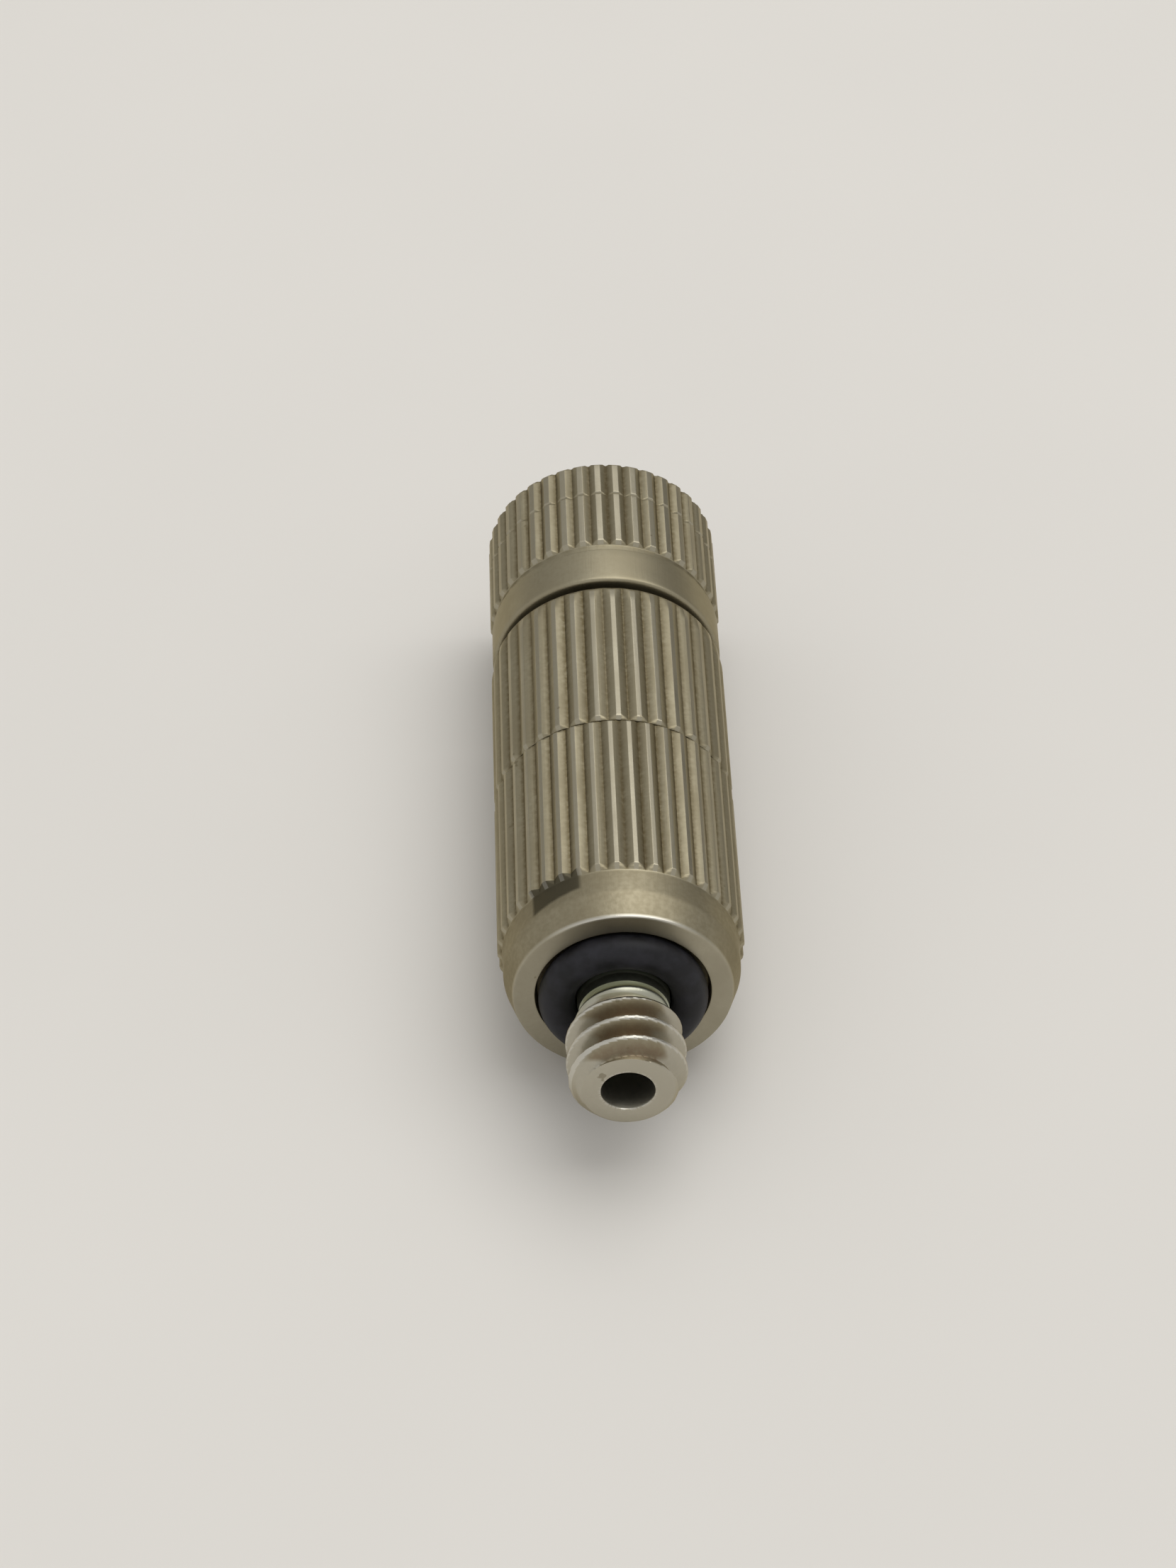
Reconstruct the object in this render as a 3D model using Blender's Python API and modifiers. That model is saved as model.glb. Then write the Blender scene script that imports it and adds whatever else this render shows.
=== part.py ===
"""High-pressure misting nozzle with an anti-drip valve, lying along +Y.

Three knurled sections screw together: the inlet body with its threaded stem and strainer, the middle
body with the anti-drip valve, and the cap with the swirl pin and the orifice plate. The origin is on
the nozzle's axis, in the plane of the inlet body's seating face. The stem points along -Y and the
spray leaves along +Y. Every piece is drawn standing on its own Z axis and then laid down along Y.
"""

import math

import bmesh
import bpy

MM = 0.001
TURN = 2 * math.pi

# Overall sizes
BODY_RADIUS = 5.0 * MM
INLET_BODY_LENGTH = 10.8 * MM
MIDDLE_BODY_LENGTH = 8.26 * MM
CAP_LENGTH = 7.67 * MM
STEM_LENGTH = 5.2 * MM

# Joints between the three sections
JOINT_GAP = 0.04 * MM
CAP_GAP = 0.4 * MM
SECTION_THREAD_PITCH = 0.75 * MM
THREAD_DEPTH = 0.46 * MM
THREAD_ENGAGEMENT = 2.6 * MM
THREAD_LEAD = 0.36 * MM
JOINT_WALL = 0.84 * MM
CAP_WALL = 1.34 * MM

# Named clearances
REST_GAP = 0.04 * MM
RUNNING_CLEARANCE = 0.05 * MM
THREAD_CLEARANCE = 0.09 * MM
FLANK_CLEARANCE = 0.06 * MM

# Knurls: straight V-grooves between narrow flat crests
KNURL_DEPTH = 0.18 * MM
END_RIDGES = 40
MIDDLE_RIDGES = 36
END_RIDGE_PHASE = -2.2
MIDDLE_RIDGE_PHASE = 2.2
EDGE_CHAMFER = 0.15 * MM

# Inlet body
BAND_LENGTH = 2.24 * MM
KNURL_RUNOUT = 0.23 * MM
END_CONE_LENGTH = 1.05 * MM
RECESS_DEPTH = 0.6 * MM
NECK_LENGTH = 1.1 * MM
STEM_BORE_RADIUS = 1.05 * MM
STEM_FACE_RADIUS = 1.75 * MM
STEM_THREAD_RADIUS = 2.39 * MM
NECK_DROP = 0.53 * MM
SEAT_FACE_DROP = 0.58 * MM
RECESS_GAP = 0.19 * MM
STEM_THREAD_PITCH = 1.058 * MM
STEM_THREAD_DEPTH = 0.63 * MM
STEM_CREST_POSITION = -2.38 * MM

# Strainer in the inlet body
CHAMBER_START = 1.9 * MM
SHOULDER_WIDTH = 0.74 * MM
GASKET_THICKNESS = 0.38 * MM
CAGE_GAP = 0.8 * MM
CAGE_WALL = 0.6 * MM
CAGE_FLANGE_THICKNESS = 0.5 * MM
CAGE_WINDOWS = 4
SCREEN_WALL = 0.14 * MM
STRAINER_CAP_THICKNESS = 0.65 * MM
STRAINER_CAP_GAP = 0.5 * MM
STRAINER_STUB_RADIUS = 1.2 * MM

# Middle body and its anti-drip valve
INLET_PASSAGE_RADIUS = 1.3 * MM
INLET_PASSAGE_LENGTH = 2.0 * MM
SPIGOT_WALL = 0.72 * MM
SEAT_LENGTH = 1.55 * MM
SEAT_LAP = 0.55 * MM
BALL_GAP = 0.8 * MM
CARRIER_GAP = 0.15 * MM
CARRIER_LENGTH = 2.0 * MM
CARRIER_TAIL_LENGTH = 2.6 * MM
CARRIER_FLUTES = 4
CARRIER_FLUTE_RADIUS = 0.5 * MM
SPRING_GAP = 0.6 * MM
SPRING_WIRE_RADIUS = 0.2 * MM
SPRING_LENGTH = 3.45 * MM
SPRING_TURNS = 5
RETAINER_THICKNESS = 0.85 * MM
RETAINER_RIM = 1.35 * MM
RETAINER_PORTS = 6
RETAINER_PORT_RADIUS = 0.3 * MM

# Cap, orifice and swirl pin
COLLAR_LENGTH = 1.95 * MM
COLLAR_DROP = 0.07 * MM
COLLAR_ROUND = 0.3 * MM
COLLAR_GROOVE_WIDTH = 0.42 * MM
SIZE_GROOVE_FROM_FACE = 2.01 * MM
SIZE_GROOVE_HALF_WIDTH = 0.08 * MM
SIZE_GROOVE_DEPTH = 0.12 * MM
MOUTH_GAP = 0.27 * MM
MOUTH_DEPTH = 0.5 * MM
HOLDER_FLANGE_THICKNESS = 0.4 * MM
HOLDER_LENGTH = 1.8 * MM
HOLDER_STEP = 0.58 * MM
NOSE_RADIUS = 1.27 * MM
NOSE_LENGTH = 0.8 * MM
NOSE_RECESS = 0.33 * MM
FACE_DISH_RADIUS = 2.0 * MM
FACE_DISH_DEPTH = 0.35 * MM
PLATE_RADIUS = 1.05 * MM
PLATE_THICKNESS = 0.37 * MM
ORIFICE_RADIUS = 0.12 * MM
LIP_THICKNESS = 0.3 * MM
LIP_HOLE_RADIUS = 0.4 * MM
SWIRL_CHAMBER_RADIUS = 1.55 * MM
SWIRL_HEAD_LENGTH = 0.95 * MM
SWIRL_COLLAR_LENGTH = 0.45 * MM
SWIRL_TAIL_RADIUS = 0.55 * MM
SWIRL_TAIL_LENGTH = 0.75 * MM
SWIRL_SLOTS = 3
SWIRL_SLOT_WIDTH = 0.3 * MM
SWIRL_FLOAT = 0.3 * MM
CLIP_THICKNESS = 0.25 * MM
CLIP_HOLE_RADIUS = 0.8 * MM

# Elastomer rings: section radius
INLET_RING_SECTION = 0.7 * MM
JOINT_RING_SECTION = 0.38 * MM
SEAT_RING_SECTION = 0.38 * MM
CAP_RING_SECTION = 0.38 * MM

# Facets
THREAD_STEPS = 20
ROUND_STEPS = 24
SMALL_STEPS = 16

# Places that follow from the sizes above, along the axis
JOINT_PLANE = INLET_BODY_LENGTH + JOINT_GAP
MIDDLE_END = JOINT_PLANE + MIDDLE_BODY_LENGTH
CAP_START = MIDDLE_END + CAP_GAP
CAP_END = CAP_START + CAP_LENGTH
CREST_FLOOR_RADIUS = BODY_RADIUS - KNURL_DEPTH
COLLAR_RADIUS = BODY_RADIUS - COLLAR_DROP
SEAT_FACE_RADIUS = BODY_RADIUS - SEAT_FACE_DROP
NECK_RADIUS = STEM_THREAD_RADIUS - NECK_DROP
RECESS_RADIUS = NECK_RADIUS + RUNNING_CLEARANCE + 2 * INLET_RING_SECTION + RECESS_GAP
JOINT_THREAD_RADIUS = CREST_FLOOR_RADIUS - JOINT_WALL
CAP_THREAD_RADIUS = CREST_FLOOR_RADIUS - CAP_WALL
JOINT_CORE_RADIUS = JOINT_THREAD_RADIUS - THREAD_DEPTH
JOINT_BORE_RADIUS = JOINT_CORE_RADIUS + THREAD_CLEARANCE + FLANK_CLEARANCE / 2
CAP_CORE_RADIUS = CAP_THREAD_RADIUS - THREAD_DEPTH
CAP_BORE_RADIUS = CAP_CORE_RADIUS + THREAD_CLEARANCE + FLANK_CLEARANCE / 2

JOINT_RING_DEPTH = 2 * JOINT_RING_SECTION + 2 * REST_GAP
JOINT_NECK_RADIUS = JOINT_CORE_RADIUS - 0.12 * MM
JOINT_RING_RADIUS = JOINT_NECK_RADIUS + RUNNING_CLEARANCE + JOINT_RING_SECTION
JOINT_COUNTERBORE_RADIUS = JOINT_RING_RADIUS + JOINT_RING_SECTION + REST_GAP
JOINT_RING_POSITION = JOINT_PLANE - REST_GAP - JOINT_RING_SECTION
JOINT_THREAD_END = INLET_BODY_LENGTH - JOINT_RING_DEPTH
JOINT_THREAD_START = JOINT_THREAD_END - THREAD_ENGAGEMENT

SPIGOT_START = JOINT_THREAD_START - THREAD_LEAD
FLANGE_END = SPIGOT_START - REST_GAP
FLANGE_START = FLANGE_END - CAGE_FLANGE_THICKNESS
GASKET_START = FLANGE_START - REST_GAP - GASKET_THICKNESS
SHOULDER_POSITION = GASKET_START - REST_GAP
CHAMBER_RADIUS = JOINT_BORE_RADIUS - SHOULDER_WIDTH
CAGE_RADIUS = CHAMBER_RADIUS - CAGE_GAP
STRAINER_CAP_RADIUS = CHAMBER_RADIUS - STRAINER_CAP_GAP
STRAINER_CAP_START = CHAMBER_START + 0.3 * MM
STRAINER_CAP_END = STRAINER_CAP_START + STRAINER_CAP_THICKNESS
CAGE_START = STRAINER_CAP_START + STRAINER_CAP_THICKNESS / 2
SCREEN_START = STRAINER_CAP_END + REST_GAP

VALVE_BORE_START = SPIGOT_START + INLET_PASSAGE_LENGTH
VALVE_BORE_RADIUS = CAP_CORE_RADIUS - SPIGOT_WALL
BALL_RADIUS = VALVE_BORE_RADIUS - BALL_GAP
SEAT_HOLE_RADIUS = BALL_RADIUS - SEAT_LAP
CARRIER_RIM_RADIUS = VALVE_BORE_RADIUS - CARRIER_GAP
SPRING_RADIUS = VALVE_BORE_RADIUS - SPRING_GAP - SPRING_WIRE_RADIUS
CARRIER_TAIL_RADIUS = SPRING_RADIUS - SPRING_WIRE_RADIUS - RUNNING_CLEARANCE * 4
RETAINER_RADIUS = VALVE_BORE_RADIUS - RUNNING_CLEARANCE
RETAINER_HOLE_RADIUS = RETAINER_RADIUS - RETAINER_RIM
SEAT_START = VALVE_BORE_START + REST_GAP
SEAT_END = SEAT_START + SEAT_LENGTH
SEAT_RING_RADIUS = SEAT_HOLE_RADIUS + REST_GAP + SEAT_RING_SECTION
SEAT_POCKET_RADIUS = SEAT_RING_RADIUS + SEAT_RING_SECTION + REST_GAP
SEAT_RING_POSITION = SEAT_END - SEAT_RING_SECTION / 2
SEAT_POCKET_START = SEAT_RING_POSITION - SEAT_RING_SECTION - REST_GAP
BALL_TO_RING = BALL_RADIUS + SEAT_RING_SECTION + REST_GAP
BALL_POSITION = SEAT_RING_POSITION + math.sqrt(BALL_TO_RING**2 - SEAT_RING_RADIUS**2)
CARRIER_START = BALL_POSITION + BALL_RADIUS / 5
CARRIER_END = CARRIER_START + CARRIER_LENGTH
SPRING_START = CARRIER_END + REST_GAP
SPRING_END = SPRING_START + SPRING_LENGTH
RETAINER_START = SPRING_END + REST_GAP

NOSE_END = CAP_END - NOSE_RECESS
NOSE_START = NOSE_END - NOSE_LENGTH
HOLDER_BODY_START = NOSE_START - HOLDER_LENGTH
HOLDER_START = HOLDER_BODY_START - HOLDER_FLANGE_THICKNESS
HOLDER_FLANGE_RADIUS = CAP_CORE_RADIUS + 0.02 * MM
HOLDER_RADIUS = HOLDER_FLANGE_RADIUS - HOLDER_STEP
CAP_RING_POSITION = HOLDER_START - REST_GAP - CAP_RING_SECTION
CAP_RING_RADIUS = CAP_CORE_RADIUS - CAP_RING_SECTION + 0.02 * MM
SPIGOT_END = CAP_RING_POSITION - CAP_RING_SECTION - REST_GAP
CAP_NECK_RADIUS = CAP_CORE_RADIUS - 0.07 * MM
CAP_THREAD_START = CAP_START + MOUTH_DEPTH + 0.2 * MM
CAP_THREAD_END = SPIGOT_END - 0.2 * MM
LIP_START = NOSE_END - LIP_THICKNESS
PLATE_START = LIP_START - REST_GAP - PLATE_THICKNESS
HEAD_END = PLATE_START - REST_GAP
HEAD_START = HEAD_END - SWIRL_HEAD_LENGTH
SWIRL_CHAMBER_END = HEAD_START
SWIRL_COLLAR_END = SWIRL_CHAMBER_END - REST_GAP
SWIRL_COLLAR_START = SWIRL_COLLAR_END - SWIRL_COLLAR_LENGTH
CLIP_START = SWIRL_COLLAR_START - SWIRL_FLOAT - CLIP_THICKNESS

# Colours: red, green, blue
NICKEL = (0.62, 0.59, 0.50)
BRASS = (0.72, 0.55, 0.26)
STAINLESS = (0.66, 0.67, 0.68)
BLACK_RUBBER = (0.02, 0.02, 0.022)
WHITE_PLASTIC = (0.85, 0.84, 0.80)


def clear_scene():
    """Empties the scene that Blender starts with."""
    for obj in list(bpy.data.objects):
        bpy.data.objects.remove(obj)


def new_collection(name):
    """A collection linked to the scene."""
    made = bpy.data.collections.new(name)
    bpy.context.scene.collection.children.link(made)
    return made


def new_material(name, colour, roughness, metallic):
    """A Principled material."""
    made = bpy.data.materials.new(name)
    made.use_nodes = True
    shader = made.node_tree.nodes["Principled BSDF"]
    shader.inputs["Base Color"].default_value = (*colour, 1.0)
    shader.inputs["Roughness"].default_value = roughness
    shader.inputs["Metallic"].default_value = metallic
    return made


def applied(obj):
    """A plain mesh of an object with its modifiers or bevel applied; the object is removed."""
    bpy.context.view_layer.update()
    graph = bpy.context.evaluated_depsgraph_get()
    mesh = bpy.data.meshes.new_from_object(obj.evaluated_get(graph))
    bpy.data.objects.remove(obj)
    return mesh


def new_object(name, mesh, collection):
    """An object in one collection."""
    made = bpy.data.objects.new(name, mesh)
    collection.objects.link(made)
    return made


def turned_mesh(outline, steps, angle=0.0):
    """A turned solid's mesh. The outline is (radius, z) points that run down the outer side."""
    profile = bpy.data.meshes.new("profile")
    points = [(radius, 0.0, z) for radius, z in outline]
    closed = outline[0][0] > 0
    last = len(points) if closed else len(points) - 1
    edges = [(i, (i + 1) % len(points)) for i in range(last)]
    profile.from_pydata(points, edges, [])
    lathe = new_object("lathe", profile, bpy.context.scene.collection)
    screw = lathe.modifiers.new("turn", "SCREW")
    screw.steps = steps
    screw.render_steps = steps
    screw.use_merge_vertices = True
    screw.merge_threshold = 0.001 * MM
    mesh = applied(lathe)
    if angle:
        turn_mesh(mesh, angle)
    return mesh


def turn_mesh(mesh, angle):
    """Turns a mesh about Z."""
    for vertex in mesh.vertices:
        x, y, z = vertex.co
        vertex.co = (
            x * math.cos(angle) - y * math.sin(angle),
            x * math.sin(angle) + y * math.cos(angle),
            z,
        )


def cut_knurl(mesh, ridges, start, end, floor):
    """Sinks every third column of a turned mesh to the floor radius, which leaves V-grooves."""
    for vertex in mesh.vertices:
        x, y, z = vertex.co
        radius = math.hypot(x, y)
        column = round(math.atan2(y, x) / TURN * ridges * 3) % 3
        if column == 2 and radius > floor and start <= z <= end:
            vertex.co = (x * floor / radius, y * floor / radius, z)


def crest_angle(ridges, phase):
    """How far a knurled mesh turns so that a crest's middle stands at this phase from the top."""
    half_crest = TURN / ridges / 6
    return math.radians(phase) - TURN / 4 - half_crest


def polyline(name, points, dimensions, cyclic):
    """A curve object of one POLY spline."""
    curve = bpy.data.curves.new(name, "CURVE")
    curve.dimensions = dimensions
    spline = curve.splines.new("POLY")
    spline.points.add(len(points) - 1)
    for point, place in zip(spline.points, points):
        point.co = (*place, 1.0)
    spline.use_cyclic_u = cyclic
    return new_object(name, curve, bpy.context.scene.collection)


def helix_points(radius, pitch, start, end, reference, steps):
    """Points of a right-hand helix that passes the reference height at angle 0."""
    first = math.floor((start - reference) / pitch * steps)
    last = math.ceil((end - reference) / pitch * steps)
    return [
        (
            radius * math.cos(TURN * i / steps),
            radius * math.sin(TURN * i / steps),
            reference + pitch * i / steps,
        )
        for i in range(first, last + 1)
    ]


def thread_mesh(core, crest, foot_width, crest_width, pitch, start, end, reference, fade):
    """A helical thread tooth that stands on the core radius and fades into it at both ends.

    The fade is (steps at the start, steps at the end); 0 leaves that end square.
    """
    points = helix_points(core, pitch, start, end, reference, THREAD_STEPS)
    sunk = 0.06 * MM
    slope = (foot_width - crest_width) / 2 / (crest - core)
    foot = foot_width / 2 + slope * sunk
    tip = crest - core
    outline = [(-sunk, -foot, 0), (-sunk, foot, 0), (tip, crest_width / 2, 0)]
    outline.append((tip, -crest_width / 2, 0))
    profile = polyline("tooth", outline, "2D", True)
    path = polyline("helix", points, "3D", False)
    path.data.twist_mode = "Z_UP"
    path.data.bevel_mode = "OBJECT"
    path.data.bevel_object = profile
    path.data.use_fill_caps = True
    count = len(points)
    for i, point in enumerate(path.data.splines[0].points):
        rising = (i + 1) / (fade[0] + 1) if fade[0] else 1.0
        falling = (count - i) / (fade[1] + 1) if fade[1] else 1.0
        point.radius = min(1.0, rising, falling)
    mesh = applied(path)
    bpy.data.objects.remove(profile)
    return closed_mesh(mesh)


def closed_mesh(mesh):
    """Welds a curve mesh's caps and turns its faces outward."""
    work = bmesh.new()
    work.from_mesh(mesh)
    bmesh.ops.remove_doubles(work, verts=work.verts, dist=0.0005 * MM)
    bmesh.ops.recalc_face_normals(work, faces=work.faces)
    work.to_mesh(mesh)
    work.free()
    return mesh


def female_thread(radius, start, end, reference, fade):
    """The groove that a section's outer thread of this radius runs in, with its clearances."""
    core = radius - THREAD_DEPTH
    foot, tip = section_tooth()
    slope = (foot - tip) / 2 / THREAD_DEPTH
    inner = core + 0.08 * MM
    outer = radius + THREAD_CLEARANCE
    inner_width = foot - 2 * slope * (inner - core) + 2 * FLANK_CLEARANCE
    outer_width = tip - 2 * slope * THREAD_CLEARANCE + 2 * FLANK_CLEARANCE
    return thread_mesh(
        inner, outer, inner_width, outer_width, SECTION_THREAD_PITCH, start, end, reference, fade
    )


def section_tooth():
    """(foot width, crest width) of the section threads' tooth."""
    return 0.8 * SECTION_THREAD_PITCH, 0.16 * SECTION_THREAD_PITCH


def male_thread(radius, start, end, reference):
    """A section's outer thread tooth, fading at both ends."""
    foot, tip = section_tooth()
    fade = (THREAD_STEPS // 3, THREAD_STEPS // 3)
    return thread_mesh(
        radius - THREAD_DEPTH, radius, foot, tip, SECTION_THREAD_PITCH, start, end, reference, fade
    )


def bar_mesh(size, centre, angle=0.0):
    """A box, turned about Z after it is placed."""
    work = bmesh.new()
    bmesh.ops.create_cube(work, size=1.0)
    for vertex in work.verts:
        vertex.co = [c + s * v for c, s, v in zip(centre, size, vertex.co)]
    mesh = bpy.data.meshes.new("bar")
    work.to_mesh(mesh)
    work.free()
    turn_mesh(mesh, angle)
    return mesh


def ring_mesh(radius, section, position, steps, section_steps):
    """An elastomer ring's torus."""
    bpy.ops.mesh.primitive_torus_add(
        major_radius=radius,
        minor_radius=section,
        major_segments=steps,
        minor_segments=section_steps,
        location=(0.0, 0.0, 0.0),
    )
    torus = bpy.context.object
    mesh = applied(torus)
    for vertex in mesh.vertices:
        vertex.co.z += position
    return mesh


class Workshop:
    """Holds the collections and the axis that every piece is laid along."""

    def __init__(self):
        self.pieces = new_collection("misting_nozzle")
        self.cutters = new_collection("cutters")
        self.axis = bpy.data.objects.new("nozzle_axis", None)
        self.axis.rotation_euler = (-TURN / 4, 0.0, 0.0)
        self.pieces.objects.link(self.axis)
        self.materials = {
            "nickel": new_material("nickel_plate", NICKEL, 0.35, 1.0),
            "brass": new_material("turned_brass", BRASS, 0.3, 1.0),
            "steel": new_material("stainless_steel", STAINLESS, 0.25, 1.0),
            "rubber": new_material("black_rubber", BLACK_RUBBER, 0.6, 0.0),
            "plastic": new_material("white_plastic", WHITE_PLASTIC, 0.5, 0.0),
        }

    def lay(self, obj):
        """Parents an object to the axis."""
        obj.parent = self.axis
        return obj

    def piece(self, name, mesh, material):
        """A named sub-part."""
        made = self.lay(new_object(name, mesh, self.pieces))
        mesh.materials.clear()
        mesh.materials.append(self.materials[material])
        mesh.shade_smooth()
        mesh.set_sharp_from_angle(angle=math.radians(28))
        return made

    def combine(self, obj, mesh, operation, label):
        """Adds a Boolean modifier that joins or cuts with a mesh."""
        helper = self.lay(new_object(f"{obj.name}_{label}", mesh, self.cutters))
        helper.hide_render = True
        helper.display_type = "WIRE"
        boolean = obj.modifiers.new(label, "BOOLEAN")
        boolean.operation = operation
        boolean.solver = "EXACT"
        boolean.object = helper

    def cut(self, obj, mesh, label):
        """Takes a mesh away from an object."""
        self.combine(obj, mesh, "DIFFERENCE", label)

    def join(self, obj, mesh, label):
        """Adds a mesh to an object."""
        self.combine(obj, mesh, "UNION", label)


def make_inlet_body(shop):
    """Knurled inlet body with its recess, threaded stem, strainer chamber and inner thread."""
    band_radius = CREST_FLOOR_RADIUS - 0.01 * MM
    knurl_start = BAND_LENGTH + KNURL_RUNOUT
    outer = [
        (0, INLET_BODY_LENGTH),
        (BODY_RADIUS - EDGE_CHAMFER, INLET_BODY_LENGTH),
        (BODY_RADIUS, INLET_BODY_LENGTH - EDGE_CHAMFER),
        (BODY_RADIUS, knurl_start),
        (band_radius, BAND_LENGTH),
        (band_radius - 0.03 * MM, END_CONE_LENGTH),
        (SEAT_FACE_RADIUS, 0),
        (0, 0),
    ]
    mesh = turned_mesh(outer, END_RIDGES * 3)
    cut_knurl(mesh, END_RIDGES, knurl_start - REST_GAP, INLET_BODY_LENGTH, CREST_FLOOR_RADIUS)
    turn_mesh(mesh, crest_angle(END_RIDGES, END_RIDGE_PHASE))
    body = shop.piece("inlet_body", mesh, "nickel")

    recess = [(RECESS_RADIUS, -MM), (RECESS_RADIUS, RECESS_DEPTH)]
    shop.cut(body, turned_mesh(disc_outline(*recess), ROUND_STEPS + 8), "recess")

    stem_core = STEM_THREAD_RADIUS - STEM_THREAD_DEPTH
    neck_end = RECESS_DEPTH - NECK_LENGTH
    stem = [
        (0, RECESS_DEPTH + 0.5 * MM),
        (NECK_RADIUS, RECESS_DEPTH + 0.5 * MM),
        (NECK_RADIUS, neck_end),
        (stem_core, neck_end - 0.15 * MM),
        (stem_core, -STEM_LENGTH + 0.1 * MM),
        (STEM_FACE_RADIUS - 0.05 * MM, -STEM_LENGTH),
        (0, -STEM_LENGTH),
    ]
    shop.join(body, turned_mesh(stem, ROUND_STEPS), "stem")
    quarter_lead = STEM_THREAD_PITCH / 4
    stem_thread = thread_mesh(
        stem_core,
        STEM_THREAD_RADIUS,
        0.86 * STEM_THREAD_PITCH,
        0.15 * STEM_THREAD_PITCH,
        STEM_THREAD_PITCH,
        -STEM_LENGTH + 0.5 * MM,
        neck_end - 0.3 * MM,
        STEM_CREST_POSITION + quarter_lead,
        (THREAD_STEPS // 3, THREAD_STEPS // 2),
    )
    shop.join(body, stem_thread, "stem_thread")

    cavity = [
        (0, INLET_BODY_LENGTH + MM),
        (JOINT_COUNTERBORE_RADIUS, INLET_BODY_LENGTH + MM),
        (JOINT_COUNTERBORE_RADIUS, JOINT_THREAD_END),
        (JOINT_BORE_RADIUS, JOINT_THREAD_END),
        (JOINT_BORE_RADIUS, SHOULDER_POSITION),
        (CHAMBER_RADIUS, SHOULDER_POSITION),
        (CHAMBER_RADIUS, CHAMBER_START),
        (STEM_BORE_RADIUS, CHAMBER_START - 0.4 * MM),
        (STEM_BORE_RADIUS, -STEM_LENGTH - MM),
        (0, -STEM_LENGTH - MM),
    ]
    shop.cut(body, turned_mesh(cavity, THREAD_STEPS), "cavity")
    groove = female_thread(
        JOINT_THREAD_RADIUS,
        SPIGOT_START,
        JOINT_THREAD_END + 0.3 * MM,
        JOINT_THREAD_END,
        (THREAD_STEPS // 4, 0),
    )
    shop.cut(body, groove, "inner_thread")


def disc_outline(top, bottom):
    """A plain disc's or cylinder's outline between two (radius, z) corners, either way up."""
    high, low = sorted((top, bottom), key=lambda corner: -corner[1])
    return [(0, high[1]), high, low, (0, low[1])]


def tube_outline(inner, outer, start, end):
    """A plain tube's outline."""
    return [(outer, end), (outer, start), (inner, start), (inner, end)]


def make_strainer(shop):
    """Gasket, cage, screen and end cap of the strainer in the inlet body."""
    screen_inner = CAGE_RADIUS + RUNNING_CLEARANCE
    screen_outer = screen_inner + SCREEN_WALL
    flange_radius = JOINT_CORE_RADIUS - 0.05 * MM
    gasket = tube_outline(
        screen_outer + RUNNING_CLEARANCE, flange_radius, GASKET_START, GASKET_START + GASKET_THICKNESS
    )
    shop.piece("filter_gasket", turned_mesh(gasket, ROUND_STEPS), "rubber")

    cage_bore = CAGE_RADIUS - CAGE_WALL
    stub_end = STRAINER_CAP_END + REST_GAP
    floor = stub_end + 0.4 * MM
    cage = [
        (flange_radius, FLANGE_END),
        (flange_radius, FLANGE_START),
        (CAGE_RADIUS, FLANGE_START),
        (CAGE_RADIUS, stub_end),
        (STRAINER_STUB_RADIUS, stub_end),
        (STRAINER_STUB_RADIUS, CAGE_START),
        (0, CAGE_START),
    ]
    cage = [(0, floor), (cage_bore, floor), (cage_bore, FLANGE_END), *cage]
    body = shop.piece("filter_cage", turned_mesh(cage, ROUND_STEPS), "plastic")
    window_length = FLANGE_START - floor - 0.6 * MM
    window_size = (2 * CHAMBER_RADIUS, CAGE_RADIUS * 0.8, window_length)
    window_centre = (0, 0, (FLANGE_START + floor) / 2)
    for i in range(CAGE_WINDOWS // 2):
        window = bar_mesh(window_size, window_centre, TURN / CAGE_WINDOWS * i)
        shop.cut(body, window, f"window_{i + 1}")

    screen = tube_outline(screen_inner, screen_outer, SCREEN_START, FLANGE_START - REST_GAP)
    shop.piece("filter_screen", turned_mesh(screen, ROUND_STEPS), "steel")

    blind = STRAINER_STUB_RADIUS + RUNNING_CLEARANCE
    end_cap = [
        (0, CAGE_START - REST_GAP),
        (blind, CAGE_START - REST_GAP),
        (blind, STRAINER_CAP_END),
        (STRAINER_CAP_RADIUS, STRAINER_CAP_END),
        (STRAINER_CAP_RADIUS, STRAINER_CAP_START + EDGE_CHAMFER),
        (STRAINER_CAP_RADIUS - EDGE_CHAMFER, STRAINER_CAP_START),
        (0, STRAINER_CAP_START),
    ]
    shop.piece("filter_end_cap", turned_mesh(end_cap, ROUND_STEPS), "plastic")


def make_rings(shop):
    """The four elastomer rings."""
    inlet_ring_radius = NECK_RADIUS + RUNNING_CLEARANCE + INLET_RING_SECTION
    inlet_ring_position = RECESS_DEPTH - REST_GAP - INLET_RING_SECTION
    rings = {
        "inlet_o_ring": (inlet_ring_radius, INLET_RING_SECTION, inlet_ring_position, 10),
        "body_seal_ring": (JOINT_RING_RADIUS, JOINT_RING_SECTION, JOINT_RING_POSITION, 8),
        "seat_o_ring": (SEAT_RING_RADIUS, SEAT_RING_SECTION, SEAT_RING_POSITION, 8),
        "cap_seal_ring": (CAP_RING_RADIUS, CAP_RING_SECTION, CAP_RING_POSITION, 8),
    }
    for name, (radius, section, position, section_steps) in rings.items():
        mesh = ring_mesh(radius, section, position, ROUND_STEPS, section_steps)
        shop.piece(name, mesh, "rubber")


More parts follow.
